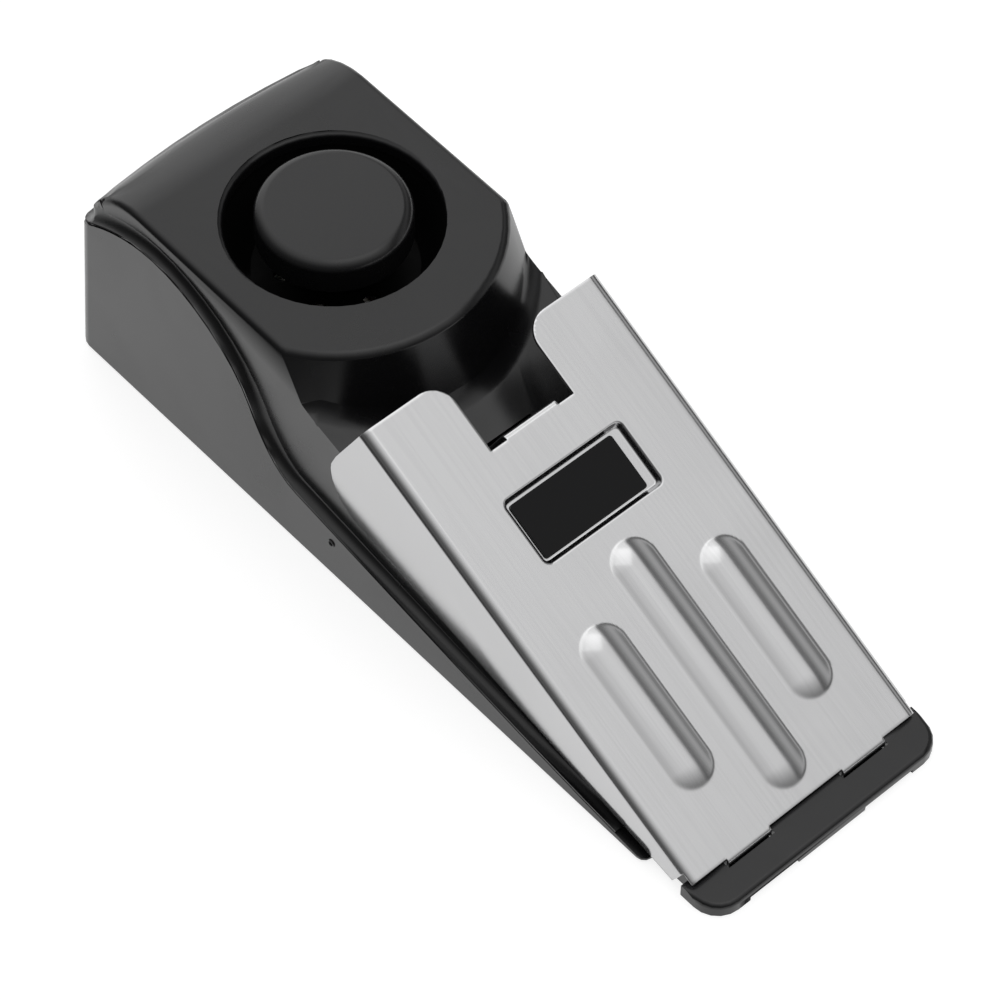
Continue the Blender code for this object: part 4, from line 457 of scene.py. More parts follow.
def on_cone(place, normal):
    """Whether a face with this middle and normal belongs to the head's round front."""
    out = Vector((place.x - SIREN_X, place.y, 0))
    away = out.length - CONE_TOP_RADIUS - (HEAD_TOP - place.z) * math.tan(CONE_SLOPE)
    return abs(away) <= ON_CONE and out.x >= 0 and cone_direction(place).dot(normal) > LIKE_CONE


def round_cone_foot(shape):
    """The hollow rounding where the head's front runs out on the ramp."""
    foot = []
    for edge in shape.edges:
        if len(edge.link_faces) == 2 and not edge.is_convex and edge.calc_face_angle() > FOOT_BEND:
            on_ramp = any(0.9 < face.normal.z < 0.97 for face in edge.link_faces)
            if on_ramp and any(on_cone(face.calc_center_median(), face.normal) for face in edge.link_faces):
                foot.append(edge)
    round_edges(shape, foot, FOOT_ROUND, 6, clamp=False)
    return len(foot)


def eased_share(value):
    """0 below 0, 1 above 1, and a soft change between."""
    share = min(max(value, 0.0), 1.0)
    return share * share * (3 - 2 * share)


def corner_outline(along, radius):
    """Half width of the head at a place along it, with rear corners of this radius in plan."""
    behind = max(0.0, CORNER_REAR + radius - along)
    return HEAD_HALF - radius + math.sqrt(radius ** 2 - behind ** 2)


def above_seam(place):
    """Height above the line where the two housings meet."""
    return place.z - (SEAM_START + SEAM_RISE * (place.x + MIDDLE))


def fill_rear_corners(shape):
    """Bring the head's round rear corners nearer to the ledge, and fade the hollow out there."""
    moved = 0
    for vert in shape.verts:
        above = above_seam(vert.co)
        if not CORNER_REAR + WELD < vert.co.x < CORNER_REAR + CAD_CORNER or above < 0:
            continue
        old, new = corner_outline(vert.co.x, CAD_CORNER), corner_outline(vert.co.x, REAL_CORNER)
        half, rise = abs(vert.co.y), eased_share(above / CORNER_RISE)
        if half > old:
            half = max(new, half - (HEAD_HALF - new) * rise) if rise > 0.5 else half
        else:
            half += (new - old) * rise * eased_share((half - CORNER_EASE) / (old - CORNER_EASE))
        vert.co.y = math.copysign(half, vert.co.y)
        moved += 1
    return moved + even_rear_corners(shape)


def smooth_share(place):
    """How much a point near the end of the hollow is smoothed: fully in the middle of that place."""
    above = above_seam(place)
    limits = ((CORNER_REAR + CAD_CORNER - place.x, 1.2 * MM),
              (abs(place.y) - CORNER_EASE - SMOOTH_SIDE, 1.2 * MM),
              (above - SMOOTH_LOW, 0.5 * MM), (SMOOTH_HIGH - above, 2.6 * MM))
    return math.prod(eased_share(room / ease) for room, ease in limits)


def smooth_once(shape):
    """Move each point there part of the way to the middle of its neighbours, all at once."""
    moves = []
    for vert in shape.verts:
        share = smooth_share(vert.co)
        if share > 0:
            near = [edge.other_vert(vert).co for edge in vert.link_edges]
            moves.append((vert, vert.co.lerp(sum(near, Vector()) / len(near), 0.5 * share)))
    for vert, place in moves:
        vert.co = place
    return len(moves)


def even_rear_corners(shape):
    """Subdivide the end of the hollow at both rear corners and smooth it."""
    region = [edge for edge in shape.edges if all(smooth_share(vert.co) > 0 for vert in edge.verts)]
    bmesh.ops.subdivide_edges(shape, edges=region, cuts=2, use_grid_fill=True)
    return max(smooth_once(shape) for step in range(SMOOTH_STEPS))


def round_toe(shape):
    """The well rounded upper edge of the toe, round its front and both corners."""
    rim = []
    for edge in shape.edges:
        ends = [vert.co for vert in edge.verts]
        level = all(abs(end.z - TOE_TOP) < WELD and end.x > TOE_START for end in ends)
        outside = all(abs(end.y) > TOE_SIDE for end in ends) or all(end.x > TOE_TIP for end in ends)
        if level and outside and edge.is_convex and any(face.normal.z > 0.9 for face in edge.link_faces):
            rim.append(edge)
    round_edges(shape, rim, TOE_ROUND, 5, clamp=False)
    return len(rim)


def even_cone(piece):
    """Give the head's round front the normals of a true cone, so that its facets don't show."""
    mesh = piece.data
    normals = [tuple(corner.normal) for corner in mesh.loops]
    flat = piece.vertex_groups.new(name="flat")
    round_verts = set()
    for face in mesh.polygons:
        if on_cone(face.center, face.normal):
            for corner in face.loop_indices:
                index = mesh.loops[corner].vertex_index
                normals[corner] = tuple(cone_direction(mesh.vertices[index].co))
                round_verts.add(index)
    mesh.normals_split_custom_set(normals)
    flat.add([vert.index for vert in mesh.vertices if vert.index not in round_verts], 1.0, "REPLACE")
    keep_flats_flat(piece).modifiers[-1].vertex_group = "flat"
    return len(round_verts)


def finished_upper():
    shape = merged_copy("upper_housing")
    print("foot edges:", round_cone_foot(shape), "corner points:", fill_rear_corners(shape))
    print("toe edges:", round_toe(shape))
    soften(shape, 0.12 * MM)
    piece = new_piece("upper_housing_finished", shape, SKIN["body_plastic"], 32.0)
    print("cone points:", even_cone(piece))
    return stand_in(piece, "upper_housing")


upper = finished_upper()
softened_node("lower_housing", 0.15 * MM)
GATE_MARK = Vector((60.3 * MM - MIDDLE, -23.42 * MM, 7.9 * MM))


def wire_ring(shape, segments, radius, wire, height=0.0):
    """A small upright ring of points and edges, ready to be spun into a wire."""
    spot = Matrix.Translation((radius, 0, height)) @ Matrix.Rotation(math.pi / 2, 4, "X")
    ring = bmesh.ops.create_circle(shape, segments=segments, radius=wire, matrix=spot)["verts"]
    return ring, edges_of(ring)


def spin_round(shape, line, steps, place=(0, 0)):
    """Spin points and edges once round an upright axis."""
    bmesh.ops.spin(shape, geom=line, axis=(0, 0, 1), cent=(*place, 0), angle=2 * math.pi, steps=steps,
                   use_merge=True)


def gate_mark(place, radius=0.55 * MM, wire=0.16 * MM):
    """The little ring that the mould leaves where the plastic flowed in."""
    shape = bmesh.new()
    ring, edges = wire_ring(shape, 10, radius, wire)
    spin_round(shape, ring + edges, 32)
    turn = Matrix.Translation(place) @ Matrix.Rotation(math.pi / 2, 4, "X")
    bmesh.ops.transform(shape, matrix=turn, verts=shape.verts)
    return shape


mark = new_piece("gate_mark", gate_mark(GATE_MARK), SKIN["body_plastic"], 60.0)
stand_in(mark, body="housing", slot="body_plastic")
print("upper housing:", len(upper.data.polygons), "faces")

# %% [markdown]
# The siren's cap is turned from its outline: a stem, a skirt, and a top whose edge is
# well rounded, because it is the part that a hand touches. The horn and the chamber below
# it are dull, and their black is darker than that of the other mouldings: painted shade
# that keeps the ring round the cap dark.

# %% Siren
CAP_RADIUS, CAP_TOP, CAP_ROUND = 11.75 * MM, 43.4 * MM, 1.7 * MM
CAP_FOOT, SKIRT_FOOT, SKIRT_ROOF = 31.1 * MM, 37.6 * MM, 41.2 * MM
STEM_RADIUS, SKIRT_WALL = 3.5 * MM, 1.1 * MM


def arc_points(centre, radius, start, end, steps):
    """Points of an arc in the outline's plane, from one angle to another in degrees."""
    angles = [math.radians(start + (end - start) * step / steps) for step in range(steps + 1)]
    return [(centre[0] + radius * math.cos(a), centre[1] + radius * math.sin(a)) for a in angles]


def turned(outline, place=(0, 0), steps=96):
    """Turn an outline of radius and height about an upright axis."""
    shape = bmesh.new()
    verts = [shape.verts.new((place[0] + radius, place[1], height)) for radius, height in outline]
    edges = [shape.edges.new(pair) for pair in zip(verts, verts[1:])]
    spin_round(shape, verts + edges, steps, place)
    bmesh.ops.remove_doubles(shape, verts=shape.verts, dist=WELD)
    return shape


def cap_outline():
    lip = 0.25 * MM
    skirt = CAP_RADIUS - SKIRT_WALL
    line = [(0, CAP_FOOT), (STEM_RADIUS, CAP_FOOT), (STEM_RADIUS, SKIRT_ROOF), (skirt, SKIRT_ROOF),
            (skirt, SKIRT_FOOT + lip), (skirt + lip, SKIRT_FOOT), (CAP_RADIUS - lip, SKIRT_FOOT),
            (CAP_RADIUS, SKIRT_FOOT + lip)]
    line += arc_points((CAP_RADIUS - CAP_ROUND, CAP_TOP - CAP_ROUND), CAP_ROUND, 0, 90, 10)
    return line + [(0, CAP_TOP)]


cap = new_piece("siren_cap_finished", turned(cap_outline(), (SIREN_X, 0)), SKIN["body_plastic"])
stand_in(keep_flats_flat(cap), "siren_cap")
# The horn and the chamber take the darker black, which is painted shade for the deep ring.
for name in ("siren_horn", "siren_chamber"):
    softened_node(name, 0.12 * MM, 2, material=HORN_PAINTED_SHADE_BLACK)
print("cap:", len(cap.data.polygons), "faces")

# %% [markdown]
# The pressure plate starts as a flat blank. It is laid out here the same way: a grid with
# its lines closest where the press will shape it, cut to its outline, given its
# thickness, and only then bent and embossed, all in one step that moves each point.

# %% Plate: blank
RIM = 0.09 * MM
TAB_INNER, TAB_OUTER = 7.15 * MM, 15.45 * MM
FRONT_SETBACK, FRONT_HALF = 2.0 * MM, 21.85 * MM
FLANGE_FRONT = (1.85 * MM, 3.81 * MM)
HEEL_RUN, HEEL_DEPTH, HEEL_PAST = 10.3 * MM, 21.1 * MM, 0.3 * MM
NEAR, MERGE = 0.05 * MM, 0.02 * MM


def spaced(stops):
    """Grid lines through all stops, in mm; each stop comes with the spacing wanted up to the next."""
    lines = []
    for (low, gap), (high, _) in zip(stops, stops[1:]):
        count = max(1, round((high - low) / gap))
        lines += [low + (high - low) * step / count for step in range(count)]
    return np.array(lines + [stops[-1][0]]) * MM


along_lines = spaced([
    (-4.586, 0.5), (-3.086, 0.12), (-2.144, 0.7), (-0.784, 0.11), (-0.13, 0.13), (0, 0.5), (2.0, 0.27),
    (6.0, 0.5), (9.8, 0.27), (13.8, 0.6), (33.7, 0.27), (37.7, 0.5), (41.0, 0.27), (45.0, 0.5), (47.2, 0.12),
    (49.2, 0.5), (57.8, 0.12), (59.8, 0.5), (65.776, 0.12), (66.718, 0.5), (74.176, 0.5), (78.176, 0.19),
    (78.37, 0.12), (79.31, 1.2), (81.62, 1)])
half_lines = spaced([
    (0, 0.32), (3.8, 0.36), (4.9, 0.32), (7.15, 0.35), (7.85, 0.36), (10.4, 0.12), (12.2, 0.36),
    (15.45, 0.5), (HALF_WEB / MM, 0.21), (21.85, 0.19), (SIDE_FLAT / MM, 1.6), (44.0, 1)])
across_lines = np.concatenate((-half_lines[:0:-1], half_lines))


def laid_out_grid():
    """A grid whose even lines are moved to the places listed above."""
    shape = bmesh.new()
    columns, rows = len(along_lines) - 1, len(across_lines) - 1
    bmesh.ops.create_grid(shape, x_segments=columns, y_segments=rows, size=1.0)
    for vert in shape.verts:
        column = round((vert.co.x + 1) / 2 * columns)
        row = round((vert.co.y + 1) / 2 * rows)
        vert.co = (along_lines[column], across_lines[row], 0)
    return shape


def outside_blank(place):
    """Whether a point lies outside the blank's outline, but for the slopes that are cut later."""
    along, across = place.x, abs(place.y)
    if along < 0:
        return not TAB_INNER < across < TAB_OUTER
    if along > NOTCH_START and across < NOTCH_HALF:
        return across > TONGUE_HALF
    if along > PLATE_LENGTH + HEEL_PAST:
        return True
    if along > PLATE_LENGTH and across < SIDE_FLAT:
        return True
    return along < FRONT_SETBACK and across > FRONT_HALF


def trim(shape, start, end, region):
    """Cut away what lies to the right of a line, within a region."""
    faces = [face for face in shape.faces if region(face.calc_center_median())]
    parts = dict.fromkeys(faces)
    for face in faces:
        parts.update(dict.fromkeys([*face.edges, *face.verts]))
    step = Vector((end[0] - start[0], end[1] - start[1], 0)).normalized()
    bmesh.ops.bisect_plane(shape, geom=list(parts), dist=WELD, plane_co=(start[0], start[1], 0),
                           plane_no=(step.y, -step.x, 0), clear_outer=True)


def heel_line():
    """Lower outline of the flange in the flat: its slope, then round the heel."""
    shares = ((-0.022, 0.594), (0.0, 0.727), (0.04, 0.78), (0.09, 0.822), (0.17, 0.875), (0.267, 0.915),
              (0.36, 0.95), (0.452, 0.975), (0.57, 0.993), (0.688, 1.0), (0.84, 0.997), (1.0, 0.985))
    rows = [(PLATE_LENGTH - back * HEEL_RUN, down * HEEL_DEPTH) for back, down in shares]
    rows += [FLANGE_FRONT, (FRONT_SETBACK, SIDE_BEND)]
    return [(along, down - SIDE_BEND + SIDE_FLAT) for along, down in rows]


def trim_along(shape, line, side, region):
    """Cut along a line of points that is laid out for the positive side, on either side."""
    for start, end in zip(line, line[1:]):
        ends = ((start[0], side * start[1]), (end[0], side * end[1]))
        trim(shape, *(ends if side > 0 else ends[::-1]), region)


def cut_blank():
    """The flat blank: waste squares out first, then the heels and the notch's round corners."""
    shape = laid_out_grid()
    waste = [face for face in shape.faces if outside_blank(face.calc_center_median())]
    bmesh.ops.delete(shape, geom=waste, context="FACES")
    middle_x = PLATE_LENGTH - NOTCH_CORNER
    arc = arc_points((middle_x, NOTCH_HALF + NOTCH_CORNER), NOTCH_CORNER, -90, 0, 10)
    for side in (-1, 1):
        trim_along(shape, [(PLATE_LENGTH, SIDE_FLAT)] + heel_line(), side,
                   lambda place: side * place.y > SIDE_FLAT - NEAR)
        trim_along(shape, arc, side,
                   lambda place: place.x > middle_x and 0 < side * place.y - NOTCH_HALF < NOTCH_CORNER)
    bmesh.ops.remove_doubles(shape, verts=shape.verts, dist=MERGE)
    flat = [vert for vert in shape.verts if abs(vert.co.y) > SIDE_FLAT - WELD]
    inner = [edge for edge in shape.edges if all(abs(vert.co.y) > SIDE_FLAT - WELD for vert in edge.verts)]
    bmesh.ops.dissolve_limit(shape, angle_limit=ONE_FLAT, verts=flat, edges=inner)
    return shape


blank = cut_blank()
area = sum(face.calc_area() for face in blank.faces)
print("blank:", len(blank.faces), "faces,", round(area / MM ** 2), "mm2")

# %% [markdown]
# The press raises three ribs, which stiffen the plate, and sinks a pocket for the name
# plate. Each is a height worked out from the distance to its middle line or its border,
# with a rounded change of slope on both sides.

# %% Plate: ribs and pocket
RIBS = ((2.2 * MM, 44.8 * MM, 0.0),
        (10.0 * MM, 37.5 * MM, -11.65 * MM),
        (10.0 * MM, 37.5 * MM, 11.65 * MM))
RIB_RISE, RIB_HALF, RIB_FOOT = 0.8 * MM, 3.8 * MM, 0.4 * MM
RIB_ROUND = (RIB_HALF ** 2 + RIB_RISE ** 2) / (2 * RIB_RISE) - RIB_FOOT
POCKET = (47.75 * MM, 59.15 * MM, 11.45 * MM)
POCKET_DEPTH, POCKET_SLOPE, POCKET_CORNER = 1.2 * MM, 0.75 * MM, 1.3 * MM


def rib_height(along, across):
    """A round ridge with hollow feet, and round ends."""
    reach, change = RIB_HALF, RIB_HALF * RIB_ROUND / (RIB_ROUND + RIB_FOOT)
    top = 0.0
    for low, high, middle in RIBS:
        nearest = min(max(along, low + reach), high - reach)
        away = math.hypot(along - nearest, across - middle)
        if away < change:
            top = max(top, math.sqrt(RIB_ROUND ** 2 - away ** 2) - RIB_ROUND + RIB_RISE)
        elif away < reach:
            top = max(top, RIB_FOOT - math.sqrt(RIB_FOOT ** 2 - (reach - away) ** 2))
    return top


def pocket_depth(along, across):
    """How far the pocket sinks: nothing outside it, then a steep wall with soft ends."""
    low, high, half = POCKET
    middle = (low + high) / 2
    x = abs(along - middle) - (high - low) / 2 + POCKET_CORNER
    y = abs(across) - half + POCKET_CORNER
    border = math.hypot(max(x, 0), max(y, 0)) + min(max(x, y), 0) - POCKET_CORNER
    return POCKET_DEPTH * eased_share(-border / POCKET_SLOPE)


print("rib top", rib_height(20 * MM, 0) / MM, "pocket", pocket_depth(53 * MM, 0) / MM)

# %% [markdown]
# Bending moves a point round the bend by the length that it lies past the bend's start.
# The two long sides turn down as flanges, the notch's tongue turns down and ends in a
# foot that works the switch, and the two front tabs hook under the toe as the hinge.

# %% Plate: bending
MID = BEND - SHEET / 2
NOSE_FLAT = 0.13 * MM
HOOK_HEIGHT = 0.3 * MM


def past_bend(length, angle=math.pi / 2, middle=MID):
    """Turn so far, and what is left over after a bend of the sheet's middle radius."""
    bent = min(length / middle, angle)
    return bent, max(0.0, length - middle * angle)


def bend_side(across, above):
    """Across and height for a point past the side bend."""
    side = math.copysign(1, across)
    bent, rest = past_bend(abs(across) - HALF_WEB, middle=SIDE_BEND - SHEET / 2)
    radius = SIDE_BEND + above
    return side * (HALF_WEB + radius * math.sin(bent)), -SIDE_BEND + radius * math.cos(bent) - rest


def bend_tongue(along, above):
    """Down at the notch, then forward into the foot."""
    length = along - NOTCH_START
    drop = TONGUE_DEPTH - 2 * BEND
    bent, rest = past_bend(length)
    radius = BEND + above
    place, height = NOTCH_START + radius * math.sin(bent), -BEND + radius * math.cos(bent)
    if rest <= drop:
        return place, height - rest
    bent, rest = past_bend(rest - drop)
    return (NOTCH_START + radius * math.cos(bent) - rest,
            -TONGUE_DEPTH + BEND - radius * math.sin(bent))


def bend_tab(length, above):
    """Point past the plate's front edge: down through the toe, then forward, level with the floor."""
    start = along_plate(-NOSE_FLAT)
    length -= NOSE_FLAT
    steep = math.pi / 2 - PLATE_ANGLE
    centre = start - BEND * Vector((math.sin(PLATE_ANGLE), 0, math.cos(PLATE_ANGLE)))
    bent, rest = past_bend(length, steep)
    angle = steep - bent
    radius = BEND + above
    spot = centre + radius * Vector((math.cos(angle), 0, math.sin(angle)))
    drop = centre.z - HOOK_HEIGHT - BEND
    if rest <= drop:
        return spot - Vector((0, 0, rest))
    bent, rest = past_bend(rest - drop)
    inner = SHEET / 2 - above
    centre = Vector((centre.x + BEND + SHEET / 2, 0, HOOK_HEIGHT + BEND))
    return centre + Vector((rest - inner * math.cos(bent), 0, -inner * math.sin(bent)))


def press(shape):
    """Bend and emboss the thick blank, point by point."""
    for vert in shape.verts:
        along, across, above = vert.co
        if along < -NOSE_FLAT:
            spot = bend_tab(-along, above)
            vert.co = (spot.x, across, spot.z)
            continue
        if along > NOTCH_START and abs(across) < TONGUE_HALF + WELD:
            place, height = bend_tongue(along, above)
            vert.co = along_plate(place, across, height)
        elif abs(across) > HALF_WEB:
            sideways, height = bend_side(across, above)
            vert.co = along_plate(along, sideways, height)
        else:
            height = above + rib_height(along, across) - pocket_depth(along, across)
            vert.co = along_plate(along, across, height)
    return shape


def thick_blank(shape):
    """Give the blank its thickness, downwards, and break the edges that the punch left."""
    bmesh.ops.recalc_face_normals(shape, faces=shape.faces)
    if sum(face.normal.z for face in shape.faces) < 0:
        bmesh.ops.reverse_faces(shape, faces=shape.faces)
    pushed = bmesh.ops.extrude_face_region(shape, geom=list(shape.faces), use_keep_orig=True)
    moved = [part for part in pushed["geom"] if isinstance(part, bmesh.types.BMVert)]
    bmesh.ops.translate(shape, verts=moved, vec=(0, 0, -SHEET))
    bmesh.ops.recalc_face_normals(shape, faces=shape.faces)
    return soften(shape, RIM, 2, 60.0)


plate = new_piece("pressure_plate_finished", press(thick_blank(blank)), SKIN["plate_steel"], 50.0)
stand_in(plate, "pressure_plate")
print("plate:", len(plate.data.polygons), "faces")

# %% [markdown]
# The smaller outside pieces keep the shape of their CAD nodes with broken edges: the name
# plate in its pocket, the battery door, the pad and the feet. The two knobs get ridges too.

# %% Outside pieces
KNOB_RIDGES, RIDGE_WIDTH, RIDGE_RISE = 3, 0.45 * MM, 0.3 * MM
RIDGE_PITCH, RIDGE_EDGE, KNOB_EDGE = 1.6 * RIDGE_WIDTH, 0.1 * MM, 0.15 * MM


def ribbed_knob(name):
    """A slide knob with three ridges on its face for the finger nail."""
    shape = merged_copy(name)
    low, high = (Vector(corner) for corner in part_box(name))
    soften(shape, KNOB_EDGE, 3)
    for count in range(KNOB_RIDGES):
        across = (low.y + high.y) / 2 + (count - (KNOB_RIDGES - 1) / 2) * RIDGE_PITCH
        corners = bmesh.ops.create_cube(shape, size=1.0)["verts"]
        scale = Matrix.Diagonal((2 * RIDGE_RISE, RIDGE_WIDTH, high.z - low.z - 4 * KNOB_EDGE, 1))
        spot = Matrix.Translation((low.x, across, (low.z + high.z) / 2))
        bmesh.ops.transform(shape, matrix=spot @ scale, verts=corners)
        round_edges(shape, edges_of(corners), RIDGE_EDGE, 2)
    piece = new_piece(name + "_finished", shape, SKIN["inner_plastic"])
    return stand_in(keep_flats_flat(piece), name)


for name in ("power_knob", "sensitivity_knob"):
    ribbed_knob(name)
for name, width, steps in (("label_plate", 0.08, 2), ("battery_door", 0.15, 2), ("front_pad", 0.2, 3),
                           ("rear_foot_left", 0.2, 3), ("rear_foot_right", 0.2, 3)):
    softened_node(name, width * MM, steps)

# %% [markdown]
# The screws have a round head with a cross recess, and a rolled thread. The head is filled
# between its rim and the cross, which is then pushed in. The thread is drawn as ridges, one
# for each turn. A screw's sizes are its head's radius and height, and its shank's radius.

# %% Screws
HOUSING_SCREW = (2.3 * MM, 1.1 * MM, 1.2 * MM)
BOARD_SCREW = (1.8 * MM, 1.2 * MM, 0.9 * MM)
CROSS_ARM_SHARE, CROSS_HALF_SHARE, CROSS_FLOOR_SHARE, CROSS_TAPER_SHARE = 0.52, 0.13, 0.6, 0.8
PITCH, CORE_SHARE, HEAD_ROUND_SHARE, TIP_SHARE = 0.8 * MM, 0.78, 0.5, 0.3


def closed_line(shape, points):
    """Edges through points, back to the first."""
    verts = [shape.verts.new(point) for point in points]
    return [shape.edges.new(pair) for pair in zip(verts, verts[1:] + verts[:1])]


def pulled_on(shape, edges, change):
    """Extrude a closed line and move its points."""
    pushed = bmesh.ops.extrude_edge_only(shape, edges=edges)["geom"]
    for vert in pushed:
        if isinstance(vert, bmesh.types.BMVert):
            vert.co = change(vert.co)
    return [edge for edge in pushed if isinstance(edge, bmesh.types.BMEdge)]


def screw_outline(head, rise, shank, length):
    """Radius and height from the head's rim down to the tip; the head's underside is at 0."""
    edge = HEAD_ROUND_SHARE * rise
    line = arc_points((head - edge, edge), edge, 90, 0, 5)[1:]
    line += [(head, 0.0), (shank, 0.0)]
    depth = 0.5 * PITCH
    while depth < length - 2 * PITCH:
        line += [(shank * CORE_SHARE, -depth), (shank, -depth - 0.4 * PITCH), (shank, -depth - 0.5 * PITCH)]
        depth += PITCH
    return line + [(shank * CORE_SHARE, -length + 0.6 * PITCH), (TIP_SHARE * shank, -length)]


def screw_shape(head, rise, shank, length):
    """A screw that stands on its tip: the head's flat top with its cross, then down the outline."""
    shape = bmesh.new()
    flat = head - HEAD_ROUND_SHARE * rise
    arm, half = CROSS_ARM_SHARE * head, CROSS_HALF_SHARE * head
    around = [2 * math.pi * step / 40 for step in range(40)]
    rim = closed_line(shape, [(flat * math.cos(a), flat * math.sin(a), rise) for a in around])
    corner = [(arm, half), (half, half), (half, arm), (-half, arm), (-half, half), (-arm, half)]
    corner += [(-x, -y) for x, y in corner]
    cross = closed_line(shape, [(x, y, rise) for x, y in corner])
    bmesh.ops.triangle_fill(shape, use_beauty=True, use_dissolve=False, edges=rim + cross)
    low = rise * (1 - CROSS_FLOOR_SHARE)
    floor = pulled_on(shape, cross, lambda co: Vector((*(CROSS_TAPER_SHARE * co.xy), low)))
    bmesh.ops.contextual_create(shape, geom=floor)
    ring = rim
    for radius, height in screw_outline(head, rise, shank, length):
        ring = pulled_on(shape, ring, lambda co: Vector((*(co.xy.normalized() * radius), height)))
    bmesh.ops.contextual_create(shape, geom=ring)
    return shape


def put_screw(name, head, rise, shank, looks_up):
    """Put a finished screw where its CAD node stands, with its head up or down."""
    low, high = (Vector(corner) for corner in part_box(name))
    shape = screw_shape(head, rise, shank, high.z - low.z - rise)
    height = high.z - rise if looks_up else low.z + rise
    seat = Matrix.Translation(((low.x + high.x) / 2, (low.y + high.y) / 2, height))
    turn = seat @ Matrix.Rotation(0.0 if looks_up else math.pi, 4, "X")
    bmesh.ops.transform(shape, matrix=turn, verts=shape.verts)
    stand_in(new_piece(name + "_finished", shape, SKIN["zinc_steel"], 30.0), name)


for count in range(1, 5):
    put_screw("housing_screw_%d" % count, *HOUSING_SCREW, False)
for count in range(1, 3):
    put_screw("board_screw_%d" % count, *BOARD_SCREW, True)

# %% [markdown]
# The pieces inside can't be seen until something is opened, but they are finished all the
# same. Each is listed with the width in millimetres by which its edges are broken.

# %% Inside pieces
EDGES = ((0.03, "piezo_disc piezo_ceramic"), (0.2, "battery"), (0.25, "battery_snap"),
         (0.15, "power_switch_body sensitivity_switch_body"), (0.05, "switch_board switch_ribbon"),
         (0.08, "circuit_board"), (0.1, "transistor controller_chip resistor_1 resistor_2 resistor_3"),
         (0.15, "trigger_switch_body"), (0.1, "trigger_button"), (0.03, "trigger_lever"),
         (0.02, "battery_lead_red battery_lead_black siren_lead_red siren_lead_black"))
for width, names in EDGES:
    for name in names.split():
        softened_node(name, width * MM)

# %% [markdown]
# Two parts on the board are turned: the coil, which is copper wire on a black ferrite
# drum, and the capacitor, a can in a shrunk sleeve with a groove near its foot.

# %% Coil and capacitor
COIL_WIRE, DRUM_RIM = 0.36 * MM, 1.0 * MM
DRUM_CORE_SHARE, WINDING_SHARE = 0.5, 0.86
CAN_EDGE, CAN_GROOVE, CAN_LID, CAN_SINK = 0.25 * MM, 0.35 * MM, 0.6 * MM, 0.1 * MM
GROOVE_HEIGHT, GROOVE_OUT_SHARE = 1.0 * MM, 0.2


def place_of(name):
    """Middle, foot, top and radius of an upright round CAD node."""
    low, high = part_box(name)
    return ((low[0] + high[0]) / 2, (low[1] + high[1]) / 2), low[2], high[2], (high[0] - low[0]) / 2


def coil_shapes():
    """The ferrite drum, and the wire wound on it."""
    place, foot, top, radius = place_of("boost_coil")
    core, low, high = DRUM_CORE_SHARE * radius, foot + DRUM_RIM, top - DRUM_RIM
    drum = [(0, foot), (radius, foot), (radius, low), (core, low),
            (core, high), (radius, high), (radius, top), (0, top)]
    wound = [(core, low)]
    for count in range(int((top - foot - 2 * DRUM_RIM) / COIL_WIRE)):
        middle = (WINDING_SHARE * radius, low + (count + 0.5) * COIL_WIRE)
        wound += arc_points(middle, COIL_WIRE / 2, -90, 90, 4)
    wound.append((core, wound[-1][1]))
    return turned(drum, place, 64), turned(wound, place, 64)


def capacitor_shape():
    """The can, with its groove near the foot and its lid sunk a little at the top."""
    place, foot, top, radius = place_of("capacitor")
    line = [(0, foot), (radius - CAN_EDGE, foot)]
    line += arc_points((radius - CAN_EDGE, foot + CAN_EDGE), CAN_EDGE, -90, 0, 3)
    groove_middle = (radius + GROOVE_OUT_SHARE * CAN_GROOVE, foot + GROOVE_HEIGHT)
    line += arc_points(groove_middle, CAN_GROOVE, 270, 90, 6)
    line += arc_points((radius - CAN_EDGE, top - CAN_EDGE), CAN_EDGE, 0, 90, 3)
    line += [(radius - CAN_LID, top), (radius - CAN_LID, top - CAN_SINK), (0, top - CAN_SINK)]
    return turned(line, place, 48)


drum_shape, wound_shape = coil_shapes()
winding = stand_in(new_piece("boost_coil_winding", wound_shape, SKIN["coil_copper"], 60.0), "boost_coil")
drum = new_piece("boost_coil_drum", drum_shape, SKIN["inner_plastic"])
stand_in(drum, body=BODY_OF["boost_coil"], slot="inner_plastic")
stand_in(new_piece("capacitor_finished", capacitor_shape(), SKIN["capacitor_sleeve"]), "capacitor")
print("coil:", len(winding.data.polygons), "faces")

# %% [markdown]
# The return spring pushes the plate up again. It is wound from steel wire. Its lower end
# stays with the housing, and its top goes with the plate, which presses it together.

# %% Return spring
SPRING_RADIUS, SPRING_WIRE, SPRING_TURNS = 3.4 * MM, 0.35 * MM, 6
SPRING_LENGTH = 12.2 * MM
POCKET_MIDDLE = 53.4 * MM
STEPS_IN_TURN = 28


def wound_wire(radius, wire, low, high, turns):
    """A compression spring of even pitch, spun from a small ring of wire."""
    shape = bmesh.new()
    edges = wire_ring(shape, 12, radius, wire, low)[1]
    cap = [bmesh.ops.contextual_create(shape, geom=edges)["faces"][0]]
    steps = turns * STEPS_IN_TURN
    bmesh.ops.spin(shape, geom=cap, axis=(0, 0, 1), cent=(0, 0, 0), angle=2 * math.pi * turns, steps=steps,
                   dvec=(0, 0, (high - low) / steps), use_duplicate=False)
    return shape


